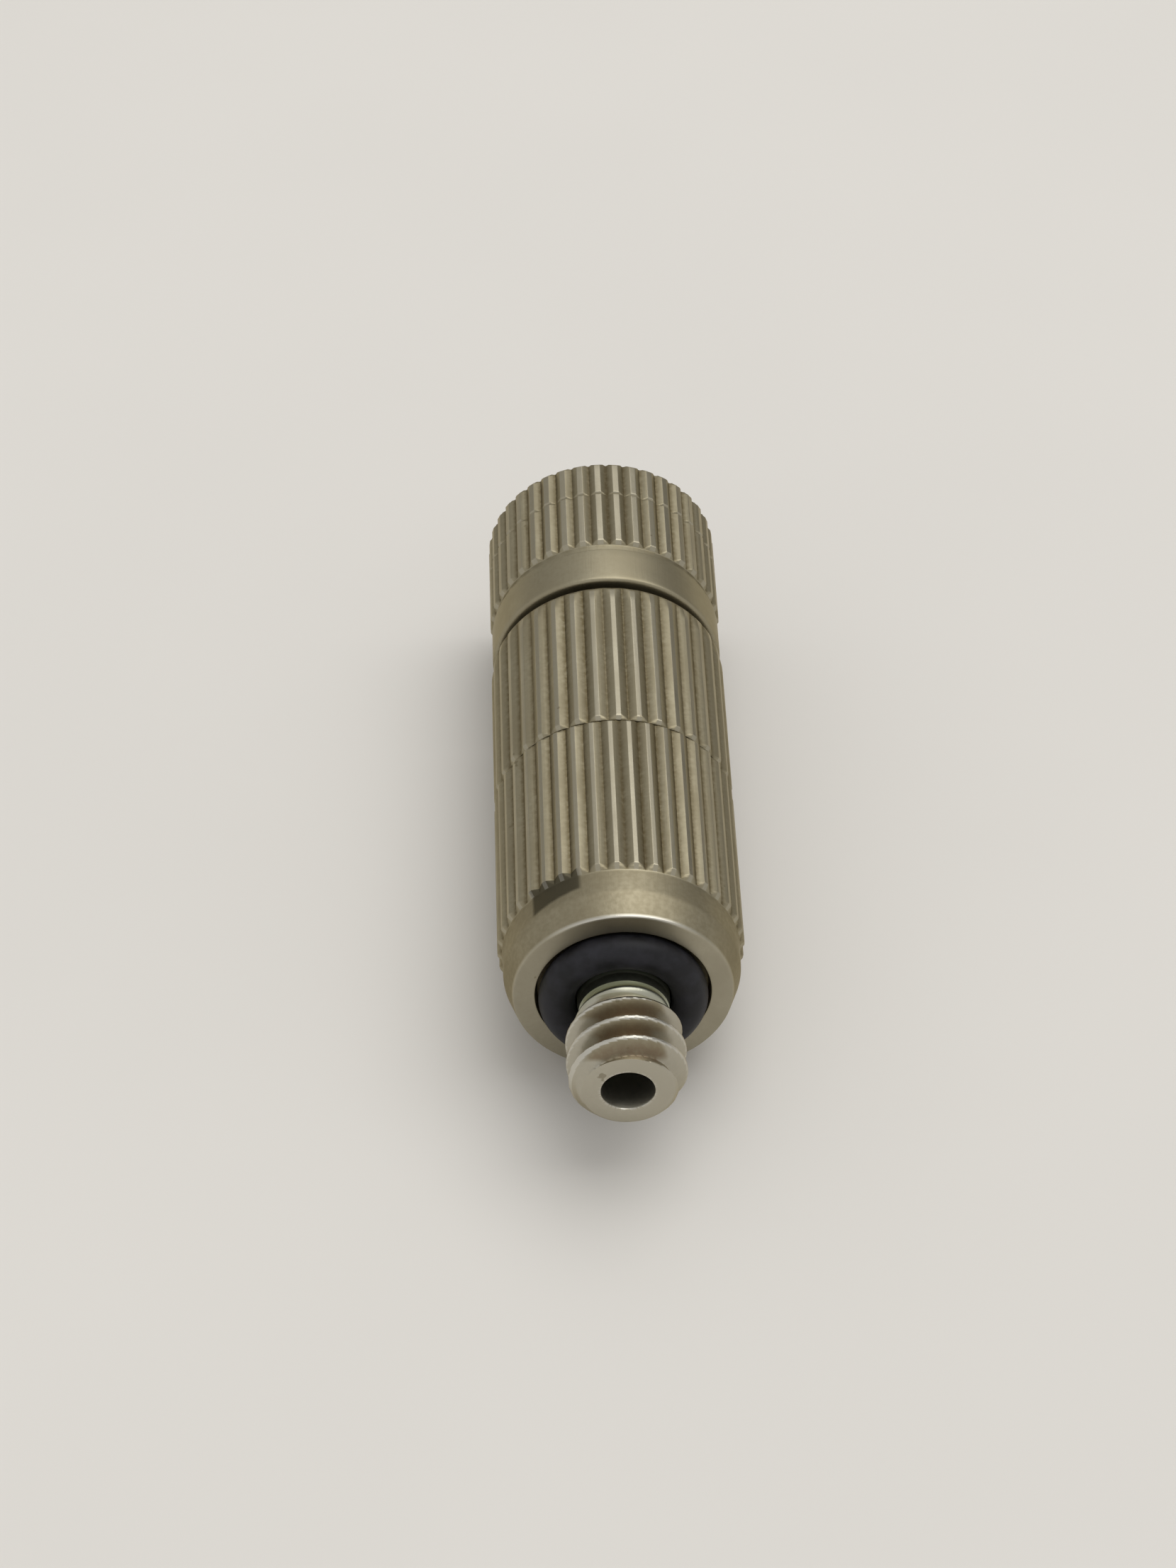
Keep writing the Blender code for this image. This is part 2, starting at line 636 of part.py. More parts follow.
def make_middle_body(shop):
    """Knurled middle body with a threaded spigot at each end."""
    outer = [
        (0, MIDDLE_END),
        (BODY_RADIUS - KNURL_DEPTH - 0.01 * MM, MIDDLE_END),
        (BODY_RADIUS - 0.07 * MM, MIDDLE_END - 0.2 * MM),
        (BODY_RADIUS, MIDDLE_END - 0.6 * MM),
        (BODY_RADIUS, JOINT_PLANE + EDGE_CHAMFER),
        (BODY_RADIUS - EDGE_CHAMFER, JOINT_PLANE),
        (0, JOINT_PLANE),
    ]
    mesh = turned_mesh(outer, MIDDLE_RIDGES * 3)
    cut_knurl(mesh, MIDDLE_RIDGES, JOINT_PLANE, MIDDLE_END, CREST_FLOOR_RADIUS)
    turn_mesh(mesh, crest_angle(MIDDLE_RIDGES, MIDDLE_RIDGE_PHASE))
    body = shop.piece("middle_body", mesh, "nickel")

    near = [
        (0, JOINT_PLANE + MM),
        (JOINT_NECK_RADIUS, JOINT_PLANE + MM),
        (JOINT_NECK_RADIUS, JOINT_THREAD_END),
        (JOINT_CORE_RADIUS, JOINT_THREAD_END - 0.1 * MM),
        (JOINT_CORE_RADIUS, SPIGOT_START),
        (0, SPIGOT_START),
    ]
    shop.join(body, turned_mesh(near, THREAD_STEPS), "near_spigot")
    near_thread = male_thread(
        JOINT_THREAD_RADIUS, JOINT_THREAD_START, JOINT_THREAD_END - 0.3 * MM, JOINT_THREAD_END
    )
    shop.join(body, near_thread, "near_thread")

    far = [
        (0, SPIGOT_END),
        (CAP_CORE_RADIUS - 0.1 * MM, SPIGOT_END),
        (CAP_CORE_RADIUS, SPIGOT_END - 0.1 * MM),
        (CAP_CORE_RADIUS, CAP_THREAD_START - 0.1 * MM),
        (CAP_NECK_RADIUS, CAP_THREAD_START - 0.2 * MM),
        (CAP_NECK_RADIUS, MIDDLE_END - MM),
        (0, MIDDLE_END - MM),
    ]
    shop.join(body, turned_mesh(far, THREAD_STEPS), "far_spigot")
    far_thread = male_thread(
        CAP_THREAD_RADIUS, CAP_THREAD_START + 0.2 * MM, CAP_THREAD_END - 0.4 * MM, CAP_THREAD_START
    )
    shop.join(body, far_thread, "far_thread")

    bore = [
        (0, SPIGOT_END + MM),
        (VALVE_BORE_RADIUS, SPIGOT_END + MM),
        (VALVE_BORE_RADIUS, VALVE_BORE_START),
        (INLET_PASSAGE_RADIUS, VALVE_BORE_START),
        (INLET_PASSAGE_RADIUS, SPIGOT_START - MM),
        (0, SPIGOT_START - MM),
    ]
    shop.cut(body, turned_mesh(bore, ROUND_STEPS), "bore")


def make_valve(shop):
    """Seat, ball, carrier, spring and retainer of the anti-drip valve."""
    fit_radius = VALVE_BORE_RADIUS - RUNNING_CLEARANCE
    seat = [
        (fit_radius, SEAT_END),
        (fit_radius, SEAT_START),
        (SEAT_HOLE_RADIUS, SEAT_START),
        (SEAT_HOLE_RADIUS, SEAT_POCKET_START),
        (SEAT_POCKET_RADIUS, SEAT_POCKET_START),
        (SEAT_POCKET_RADIUS, SEAT_END),
    ]
    shop.piece("valve_seat", turned_mesh(seat, ROUND_STEPS), "brass")

    ball = bpy.data.meshes.new("ball")
    work = bmesh.new()
    bmesh.ops.create_uvsphere(work, u_segments=SMALL_STEPS, v_segments=10, radius=BALL_RADIUS)
    work.to_mesh(ball)
    work.free()
    for vertex in ball.vertices:
        vertex.co.z += BALL_POSITION
    shop.piece("valve_ball", ball, "steel")

    pocket_radius = BALL_RADIUS + RUNNING_CLEARANCE
    low = math.asin((CARRIER_START - BALL_POSITION) / pocket_radius)
    arc_points = 5
    pocket = [
        (
            pocket_radius * math.cos(low + (TURN / 4 - low) * i / arc_points),
            BALL_POSITION + pocket_radius * math.sin(low + (TURN / 4 - low) * i / arc_points),
        )
        for i in range(arc_points)
    ]
    tail_end = CARRIER_END + CARRIER_TAIL_LENGTH
    carrier = [
        (0, tail_end),
        (CARRIER_TAIL_RADIUS - 0.15 * MM, tail_end),
        (CARRIER_TAIL_RADIUS, tail_end - 0.15 * MM),
        (CARRIER_TAIL_RADIUS, CARRIER_END),
        (CARRIER_RIM_RADIUS, CARRIER_END),
        (CARRIER_RIM_RADIUS, CARRIER_START),
        *pocket,
        (0, BALL_POSITION + pocket_radius),
    ]
    body = shop.piece("ball_carrier", turned_mesh(carrier, ROUND_STEPS), "plastic")
    flute = [(CARRIER_FLUTE_RADIUS, CARRIER_END + MM), (CARRIER_FLUTE_RADIUS, CARRIER_START - MM)]
    for i in range(CARRIER_FLUTES):
        cutter = turned_mesh(disc_outline(*flute), 8)
        angle = TURN / CARRIER_FLUTES * (i + 0.5)
        move_mesh(cutter, CARRIER_RIM_RADIUS, angle)
        shop.cut(body, cutter, f"flute_{i + 1}")

    spring_points = helix_points(
        SPRING_RADIUS,
        (SPRING_LENGTH - 2 * SPRING_WIRE_RADIUS) / SPRING_TURNS,
        SPRING_START + SPRING_WIRE_RADIUS,
        SPRING_END - SPRING_WIRE_RADIUS,
        SPRING_START + SPRING_WIRE_RADIUS,
        14,
    )
    spring = polyline("coil", spring_points, "3D", False)
    spring.data.bevel_depth = SPRING_WIRE_RADIUS
    spring.data.bevel_resolution = 1
    spring.data.use_fill_caps = True
    shop.piece("valve_spring", closed_mesh(applied(spring)), "steel")

    retainer = tube_outline(
        RETAINER_HOLE_RADIUS, RETAINER_RADIUS, RETAINER_START, RETAINER_START + RETAINER_THICKNESS
    )
    plate = shop.piece("spring_retainer", turned_mesh(retainer, ROUND_STEPS), "brass")
    port = [(RETAINER_PORT_RADIUS, RETAINER_START + MM), (RETAINER_PORT_RADIUS, RETAINER_START - MM)]
    port_circle = (RETAINER_HOLE_RADIUS + RETAINER_RADIUS) / 2
    for i in range(RETAINER_PORTS):
        cutter = turned_mesh(disc_outline(*port), 8)
        move_mesh(cutter, port_circle, TURN / RETAINER_PORTS * i)
        shop.cut(plate, cutter, f"port_{i + 1}")


def move_mesh(mesh, radius, angle):
    """Moves a mesh out to a radius at an angle about Z."""
    for vertex in mesh.vertices:
        vertex.co.x += radius * math.cos(angle)
        vertex.co.y += radius * math.sin(angle)


def make_cap(shop):
    """Knurled cap with its collar, inner thread and front dish."""
    groove_radius = CREST_FLOOR_RADIUS - 0.01 * MM
    collar_end = CAP_START + COLLAR_LENGTH
    knurl_start = collar_end + COLLAR_GROOVE_WIDTH
    size_groove = CAP_END - SIZE_GROOVE_FROM_FACE
    outer = [
        (0, CAP_END),
        (BODY_RADIUS, CAP_END),
        (BODY_RADIUS, size_groove + SIZE_GROOVE_HALF_WIDTH),
        (BODY_RADIUS - SIZE_GROOVE_DEPTH, size_groove),
        (BODY_RADIUS, size_groove - SIZE_GROOVE_HALF_WIDTH),
        (BODY_RADIUS, knurl_start + EDGE_CHAMFER),
        (groove_radius, knurl_start),
        (groove_radius, collar_end + 0.1 * MM),
        (COLLAR_RADIUS, collar_end),
        (COLLAR_RADIUS, CAP_START + COLLAR_ROUND),
        (COLLAR_RADIUS - COLLAR_ROUND * 0.15, CAP_START + COLLAR_ROUND * 0.4),
        (COLLAR_RADIUS - COLLAR_ROUND * 0.6, CAP_START),
        (0, CAP_START),
    ]
    mesh = turned_mesh(outer, END_RIDGES * 3)
    cut_knurl(mesh, END_RIDGES, knurl_start + REST_GAP, CAP_END, CREST_FLOOR_RADIUS)
    turn_mesh(mesh, crest_angle(END_RIDGES, END_RIDGE_PHASE))
    body = shop.piece("nozzle_cap", mesh, "nickel")

    nose_bore = NOSE_RADIUS + RUNNING_CLEARANCE
    holder_bore = HOLDER_RADIUS + RUNNING_CLEARANCE
    mouth_radius = CAP_THREAD_RADIUS + MOUTH_GAP
    cavity = [
        (0, CAP_END + MM),
        (FACE_DISH_RADIUS, CAP_END + MM),
        (FACE_DISH_RADIUS, CAP_END),
        (nose_bore, CAP_END - FACE_DISH_DEPTH),
        (nose_bore, NOSE_START + REST_GAP),
        (holder_bore, NOSE_START + REST_GAP),
        (holder_bore, HOLDER_BODY_START + REST_GAP),
        (CAP_BORE_RADIUS, HOLDER_BODY_START + REST_GAP),
        (CAP_BORE_RADIUS, CAP_START + MOUTH_DEPTH),
        (mouth_radius, CAP_START + MOUTH_DEPTH),
        (mouth_radius, CAP_START - MM),
        (0, CAP_START - MM),
    ]
    shop.cut(body, turned_mesh(cavity, THREAD_STEPS), "cavity")
    groove = female_thread(
        CAP_THREAD_RADIUS,
        CAP_START + MOUTH_DEPTH - 0.3 * MM,
        CAP_THREAD_END,
        CAP_THREAD_START,
        (0, THREAD_STEPS // 4),
    )
    shop.cut(body, groove, "inner_thread")


def make_orifice(shop):
    """Orifice holder, orifice plate, swirl pin and the clip that keeps the pin in."""
    plate_bore = PLATE_RADIUS + RUNNING_CLEARANCE
    holder = [
        (NOSE_RADIUS, NOSE_END),
        (NOSE_RADIUS, NOSE_START),
        (HOLDER_RADIUS, NOSE_START),
        (HOLDER_RADIUS, HOLDER_BODY_START),
        (HOLDER_FLANGE_RADIUS, HOLDER_BODY_START),
        (HOLDER_FLANGE_RADIUS, HOLDER_START),
        (SWIRL_CHAMBER_RADIUS, HOLDER_START),
        (SWIRL_CHAMBER_RADIUS, SWIRL_CHAMBER_END),
        (plate_bore, SWIRL_CHAMBER_END),
        (plate_bore, LIP_START),
        (LIP_HOLE_RADIUS, LIP_START),
        (LIP_HOLE_RADIUS * 2, NOSE_END),
    ]
    shop.piece("orifice_holder", turned_mesh(holder, ROUND_STEPS), "steel")

    plate = tube_outline(ORIFICE_RADIUS, PLATE_RADIUS, PLATE_START, PLATE_START + PLATE_THICKNESS)
    shop.piece("orifice_plate", turned_mesh(plate, SMALL_STEPS), "steel")

    head_radius = PLATE_RADIUS - RUNNING_CLEARANCE / 2
    collar_radius = SWIRL_CHAMBER_RADIUS - 2 * RUNNING_CLEARANCE
    pin = [
        (0, HEAD_END),
        (head_radius, HEAD_END),
        (head_radius, SWIRL_COLLAR_END),
        (collar_radius, SWIRL_COLLAR_END),
        (collar_radius, SWIRL_COLLAR_START),
        (SWIRL_TAIL_RADIUS, SWIRL_COLLAR_START),
        (SWIRL_TAIL_RADIUS, SWIRL_COLLAR_START - SWIRL_TAIL_LENGTH),
        (0, SWIRL_COLLAR_START - SWIRL_TAIL_LENGTH),
    ]
    body = shop.piece("swirl_pin", turned_mesh(pin, ROUND_STEPS), "brass")
    slot_size = (2 * head_radius, SWIRL_SLOT_WIDTH, SWIRL_SLOT_WIDTH)
    slot_offset = head_radius * 0.35
    for i in range(SWIRL_SLOTS):
        centre = (head_radius, slot_offset, HEAD_END)
        shop.cut(body, bar_mesh(slot_size, centre, TURN / SWIRL_SLOTS * i), f"slot_{i + 1}")

    clip = tube_outline(
        CLIP_HOLE_RADIUS,
        SWIRL_CHAMBER_RADIUS - RUNNING_CLEARANCE,
        CLIP_START,
        CLIP_START + CLIP_THICKNESS,
    )
    shop.piece("swirl_clip", turned_mesh(clip, SMALL_STEPS), "steel")


def main():
    """Builds the nozzle."""
    clear_scene()
    shop = Workshop()
    make_inlet_body(shop)
    make_strainer(shop)
    make_rings(shop)
    make_middle_body(shop)
    make_valve(shop)
    make_cap(shop)
    make_orifice(shop)


main()
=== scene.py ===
"""Looks of a high-pressure misting nozzle with an anti-drip valve, lying along +Y on a pale table.

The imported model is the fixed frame. Each section is turned again here from its own sizes, with its
knurls, threads and rounded edges as real geometry, and stands for the matching solid of the frame.
Lengths are in millimetres unless a name says otherwise, and angles run from +Z towards +X.
"""

from __future__ import annotations

import logging
import math
from dataclasses import dataclass, field, replace
from enum import Enum

import bmesh
import bpy
import numpy as np
from mathutils import Matrix, Vector

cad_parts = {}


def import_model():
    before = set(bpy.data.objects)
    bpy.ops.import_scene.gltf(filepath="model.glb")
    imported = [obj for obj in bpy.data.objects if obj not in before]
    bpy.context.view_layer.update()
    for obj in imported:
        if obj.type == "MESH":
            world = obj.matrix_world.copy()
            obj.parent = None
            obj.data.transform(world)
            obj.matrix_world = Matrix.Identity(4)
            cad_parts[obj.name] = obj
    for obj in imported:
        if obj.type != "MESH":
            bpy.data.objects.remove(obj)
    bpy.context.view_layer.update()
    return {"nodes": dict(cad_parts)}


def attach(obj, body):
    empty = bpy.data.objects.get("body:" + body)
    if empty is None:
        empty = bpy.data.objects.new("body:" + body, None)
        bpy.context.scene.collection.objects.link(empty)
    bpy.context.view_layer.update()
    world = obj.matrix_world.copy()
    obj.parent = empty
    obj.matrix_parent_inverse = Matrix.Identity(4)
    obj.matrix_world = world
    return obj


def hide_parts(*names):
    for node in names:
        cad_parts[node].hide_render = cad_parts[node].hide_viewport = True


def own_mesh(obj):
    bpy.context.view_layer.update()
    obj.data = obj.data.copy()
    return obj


log = logging.getLogger("misting_nozzle")

MM = 0.001
TURN = 2 * math.pi
# The marks that the finish reads: darker hollows, some of them painted shade; thread roots painted
# darker as shade; green patina; a patch painted as a dark reflection; and rubbed places with painted
# highlights.
MARKS = ("grime_and_shade", "painted_root_shade", "green", "painted_dark_reflection", "wear_and_highlight")
SHARP_EDGE = math.radians(42)
WELD_GAP = 0.0004
SLIVER = 0.0002

Colour = tuple[float, float, float]
Sizes = tuple[float, ...]
Mesh = bpy.types.Mesh
Object = bpy.types.Object
Material = bpy.types.Material
Socket = bpy.types.NodeSocket


class Slot(Enum):
    """The material slots, which pick the finishes."""

    NICKEL = "nickel_plate"
    BRASS = "bare_brass"
    STAINLESS = "stainless"
    RUBBER = "black_rubber"
    PLASTIC = "white_plastic"


class Body(Enum):
    """The bodies that pieces ride on."""

    INLET = "inlet_section"
    JOINT_SEAL = "joint_seal"
    MIDDLE = "middle_section"
    VALVE = "valve"
    CAP_SEAL = "cap_seal"
    CAP = "cap_section"
    SWIRL = "swirl"


# ---------------------------------------------------------------- shape tools


@dataclass(frozen=True)
class Profile:
    """A run of corners in the plane through the axis, each rounded by its own fillet.

    A corner is (along, radius, fillet, pieces of the stretch that follows it).
    """

    corners: tuple[Sizes, ...]
    fillet_steps: int = 4
    most_of_side: float = 0.45

    def points(self) -> np.ndarray:
        """The rounded run.

        Returns:
            An array of (along, radius) rows.
        """
        places = np.array([corner[:2] for corner in self.corners], float)
        run: list[np.ndarray] = []
        for i, corner in enumerate(self.corners):
            if 0 < i < len(places) - 1 and corner[2] > 0:
                run.extend(self._rounded(places[i - 1], places[i], places[i + 1], corner[2]))
            else:
                run.append(places[i])
            pieces = int(corner[3])
            if i + 1 < len(places) and pieces > 1:
                leave = run[-1]
                arrive = self._arrival(places, i + 1)
                run.extend(leave + (arrive - leave) * k / pieces for k in range(1, pieces))
        return np.array(run)

    def _arrival(self, places: np.ndarray, i: int) -> np.ndarray:
        """Where the stretch that ends at corner i meets its fillet.

        Args:
            places: Every corner's (along, radius).
            i: The corner's number.

        Returns:
            The point's (along, radius).
        """
        fillet = self.corners[i][2] if i < len(places) - 1 else 0.0
        back = places[i - 1] - places[i]
        length = float(np.hypot(*back))
        return places[i] + back / max(length, 1e-9) * min(fillet, self.most_of_side * length)

    def _rounded(
        self, before: np.ndarray, corner: np.ndarray, after: np.ndarray, fillet: float
    ) -> list[np.ndarray]:
        """Points of the curve that rounds a corner.

        Args:
            before: The corner before it.
            corner: The corner.
            after: The corner after it.
            fillet: How far from the corner the curve starts.

        Returns:
            The curve's points in order.
        """
        back, ahead = before - corner, after - corner
        start = corner + back * min(fillet / np.hypot(*back), self.most_of_side)
        end = corner + ahead * min(fillet / np.hypot(*ahead), self.most_of_side)
        shares = np.linspace(0, 1, self.fillet_steps + 1)
        return [(1 - s) ** 2 * start + 2 * s * (1 - s) * corner + s * s * end for s in shares]


@dataclass(frozen=True)
class Knurl:
    """Straight V-grooves between narrow flat crests, all cut to nearly the same depth."""

    ridges: int
    phase: float
    depth: float = 0.18
    crest: float = 0.23
    seed: int = 1
    edge: Sizes = (-0.03, -0.006, 0.014)
    flank: Sizes = (0.33, 0.46)
    edge_drop: float = 0.004
    flank_drop: float = 0.93
    unevenness: float = 0.05
    root_start: float = 0.35
    crest_wear: float = 0.16

    def angles(self) -> np.ndarray:
        """The columns' angles, which gather at the edges of the crests and in the roots.

        Returns:
            The angles in radians.
        """
        share = [self.crest / 2 + step for step in self.edge] + list(self.flank)
        offsets = np.array([-s for s in reversed(share)] + share + [0.5])
        turns = np.arange(self.ridges)[:, None] + offsets[None, :]
        return math.radians(self.phase) + turns.ravel() / self.ridges * TURN

    def drops(self) -> np.ndarray:
        """How far each column lies below the crests.

        Returns:
            The drops in millimetres.
        """
        half = self.crest / 2
        past_edge = self.edge[2] / (0.5 - half)
        half_way = (self.flank[0] - half) / (0.5 - half)
        levels = [0.0, self.edge_drop, past_edge, half_way, self.flank_drop]
        row = np.array(list(reversed(levels)) + levels + [1.0])
        rng = np.random.default_rng(self.seed)
        depth = self.depth * (1 + self.unevenness * rng.standard_normal(self.ridges))
        rows = np.outer(depth, row)
        rows[:, : len(levels)] = np.outer(np.roll(depth, 1), row[: len(levels)])
        return rows.ravel()


@dataclass(frozen=True)
class Thread:
    """A right-hand thread as a radius over the place along the axis and the angle."""

    core: float
    crest: float
    pitch: float
    foot_width: float
    crest_width: float
    mark: float
    mark_angle: float
    start: float
    end: float
    fade_start: float = 0.3
    fade_end: float = 0.3
    flank_curve: float = 0.35

    def height(self, along: np.ndarray, angles: np.ndarray) -> np.ndarray:
        """The tooth's height as a share of its full height.

        Args:
            along: Places along the axis, as a column.
            angles: Angles in radians, as a row.

        Returns:
            The share at each place and angle, from 0 in the root to 1 on the crest.
        """
        turns = (along - self.mark) / self.pitch - (angles - math.radians(self.mark_angle)) / TURN
        offset = np.abs(turns - np.round(turns)) * self.pitch
        flank = (self.foot_width - self.crest_width) / 2
        share = np.clip((self.foot_width / 2 - offset) / flank, 0, 1)
        curve = share * share * (3 - 2 * share)
        share = (1 - self.flank_curve) * share + self.flank_curve * curve
        rise = np.clip((along - self.start) / self.fade_start, 0, 1)
        fall = np.clip((self.end - along) / self.fade_end, 0, 1)
        return share * rise * fall

    def radii(self, along: np.ndarray, angles: np.ndarray) -> np.ndarray:
        """The thread's radius at each place and angle, in millimetres."""
        return self.core + (self.crest - self.core) * self.height(along, angles)


@dataclass
class Band:
    """Rings of points round the axis that share their angles, with marks for the finish and for its
    painted light and shade.
    """

    angles: np.ndarray
    along: np.ndarray
    radii: np.ndarray
    marks: dict[str, np.ndarray] = field(default_factory=dict)

    @classmethod
    def turned(cls, profile: Profile, angles: np.ndarray) -> "Band":
        """A band whose rings are plain circles.

        Args:
            profile: The run that is turned.
            angles: The columns' angles.

        Returns:
            The band.
        """
        points = profile.points()
        ones = np.ones(len(angles))
        return cls(angles, np.outer(points[:, 0], ones), np.outer(points[:, 1], ones))

    def reversed(self) -> "Band":
        """The same rings in the other order."""
        marks = {name: rows[::-1] for name, rows in self.marks.items()}
        return Band(self.angles, self.along[::-1], self.radii[::-1], marks)

    def mark(self, name: str, values: np.ndarray) -> None:
        """Sets one of the marks, with values that broadcast to every point."""
        self.marks[name] = np.broadcast_to(np.clip(values, 0, 1), self.radii.shape).copy()

    def cut_knurl(self, knurl: Knurl, body_radius: float, start: float, end: float) -> None:
        """Limits the radius to a knurl's surface between two places, and marks its roots and crests.

        Args:
            knurl: The knurl, whose angles the band has.
            body_radius: The radius of its crests.
            start: Where the knurl starts.
            end: Where it ends.
        """
        surface = body_radius - knurl.drops()[None, :]
        inside = (self.along >= start) & (self.along <= end)
        self.radii = np.where(inside, np.minimum(self.radii, surface), self.radii)
        share = (knurl.drops() / knurl.depth)[None, :]
        flank = inside & (self.radii > body_radius - 1.5 * knurl.depth)
        root = np.clip(share - knurl.root_start, 0, 1) / (1 - knurl.root_start)
        # The roots go darker and rougher with depth; the flat crests are marked as rubbed.
        self.mark("grime_and_shade", np.where(flank, root, 0))
        self.mark("wear_and_highlight", np.where(flank, knurl.crest_wear * (share < 0.01), 0))


def round_angles(columns: int) -> np.ndarray:
    """This many evenly spaced angles round the axis, in radians."""
    return np.arange(columns) / columns * TURN


def from_top(angles: np.ndarray) -> np.ndarray:
    """Angles in degrees from the top, from -180 to 180."""
    return np.degrees(np.arctan2(np.sin(angles), np.cos(angles)))


def rings_between(start: float, end: float, step: float) -> np.ndarray:
    """Places along the axis a step or less apart, both ends included."""
    return np.linspace(start, end, max(2, round(abs(end - start) / step) + 1))


class Sweep:
    """Builds one closed mesh from bands of rings that follow each other round a section."""

    def __init__(self, name: str) -> None:
        """Starts an empty mesh of this name."""
        self.name = name
        self.bands: list[Band] = []

    def add(self, band: Band) -> "Sweep":
        """Adds the next band."""
        self.bands.append(band)
        return self

    def mesh(self, closed: bool = True) -> Mesh:
        """Builds the mesh.

        Args:
            closed: Whether the last ring joins the first. If not, the ends lie on the axis.

        Returns:
            The mesh, in metres, with every mark as a point attribute.
        """
        points: list[np.ndarray] = []
        marks: dict[str, list[np.ndarray]] = {name: [] for name in MARKS}
        rings: list[np.ndarray] = []
        count = 0
        for band in self.bands:
            sin, cos = np.sin(band.angles), np.cos(band.angles)
            for i in range(len(band.radii)):
                radius = band.radii[i]
                points.append(np.stack([radius * sin, band.along[i], radius * cos], 1) * MM)
                for name in MARKS:
                    values = band.marks.get(name)
                    marks[name].append(np.zeros(len(sin)) if values is None else values[i])
                rings.append(np.arange(count, count + len(sin)))
                count += len(sin)
        faces: list[list[int]] = []
        pairs = list(zip(rings, rings[1:]))
        if closed:
            pairs.append((rings[-1], rings[0]))
        for first, second in pairs:
            faces.extend(self._between(first, second))
        mesh = bpy.data.meshes.new(self.name)
        mesh.from_pydata(np.concatenate(points).tolist(), [], faces)
        for name in MARKS:
            layer = mesh.attributes.new(name, "FLOAT", "POINT")
            layer.data.foreach_set("value", np.concatenate(marks[name]).astype(np.float32))
        return tidy_mesh(mesh)

    @staticmethod
    def _between(first: np.ndarray, second: np.ndarray) -> list[list[int]]:
        """The faces between two rings, whose numbers of points are the same or a whole ratio apart.

        Args:
            first: A ring's point numbers.
            second: The next ring's point numbers.

        Returns:
            The faces.
        """
        if len(second) > len(first):
            return [face[::-1] for face in Sweep._between(second, first)]
        ratio = len(first) // len(second)
        total = len(first)
        faces = []
        for i in range(len(second)):
            fine = [int(first[(i * ratio + k) % total]) for k in range(ratio + 1)]
            faces.append([*fine, int(second[(i + 1) % len(second)]), int(second[i])])
        return faces


def shade(mesh: Mesh) -> None:
    """Shades a mesh smooth up to its sharp edges."""
    mesh.shade_smooth()
    mesh.set_sharp_from_angle(angle=SHARP_EDGE)


def tidy_mesh(mesh: Mesh) -> Mesh:
    """Welds points that coincide, turns the faces outward and shades them smooth.

    Args:
        mesh: The mesh to tidy.

    Returns:
        The same mesh.
    """
    work = bmesh.new()
    work.from_mesh(mesh)
    bmesh.ops.remove_doubles(work, verts=work.verts, dist=WELD_GAP * MM)
    bmesh.ops.dissolve_degenerate(work, edges=work.edges, dist=SLIVER * MM)
    bmesh.ops.recalc_face_normals(work, faces=work.faces)
    work.to_mesh(mesh)
    work.free()
    shade(mesh)
    return mesh


def cut_away(obj: Object, cutters: list[Mesh]) -> None:
    """Takes meshes away from an object and applies the result.

    Args:
        obj: The object to cut.
        cutters: The meshes that are taken away, in the object's own frame.
    """
    helpers = []
    for i, mesh in enumerate(cutters):
        helper = bpy.data.objects.new(f"{obj.name}_cutter_{i + 1}", mesh)
        bpy.context.scene.collection.objects.link(helper)
        boolean = obj.modifiers.new(f"cut_{i + 1}", "BOOLEAN")
        boolean.operation = "DIFFERENCE"
        boolean.solver = "EXACT"
        boolean.object = helper
        helpers.append(helper)
    graph = bpy.context.evaluated_depsgraph_get()
    made = bpy.data.meshes.new_from_object(obj.evaluated_get(graph))
    obj.modifiers.clear()
    obj.data = made
    for helper in helpers:
        bpy.data.objects.remove(helper)
    shade(made)


def box_mesh(size: Sizes, centre: Sizes, angle: float = 0.0) -> Mesh:
    """A block for cutting, turned about the nozzle's axis after it is placed.

    Args:
        size: Its size along X, Y and Z, in millimetres.
        centre: Its centre.
        angle: The turn in radians.

    Returns:
        The mesh in metres.
    """
    work = bmesh.new()
    bmesh.ops.create_cube(work, size=1.0)
    sin, cos = math.sin(angle), math.cos(angle)
    for vertex in work.verts:
        x, y, z = (c + s * v for c, s, v in zip(centre, size, vertex.co))
        vertex.co = Vector((x * cos + z * sin, y, z * cos - x * sin)) * MM
    mesh = bpy.data.meshes.new("block")
    work.to_mesh(mesh)
    work.free()
    return mesh


def rod_mesh(radius: float, start: float, end: float, out: float, angle: float) -> Mesh:
    """A round rod for cutting, parallel to the axis and away from it.

    Args:
        radius: Its radius in millimetres.
        start: Where it starts along the axis.
        end: Where it ends.
        out: How far from the axis it stands.
        angle: Where it stands round the axis, in radians.

    Returns:
        The mesh in metres.
    """
    rod = Profile(((start, 0, 0, 1), (start, radius, 0, 1), (end, radius, 0, 1), (end, 0, 0, 1)))
    mesh = Sweep("rod").add(Band.turned(rod, round_angles(32))).mesh(closed=False)
    mesh.transform(Matrix.Translation(Vector((out * math.sin(angle), 0, out * math.cos(angle))) * MM))
    return mesh


# ---------------------------------------------------------------- finishes


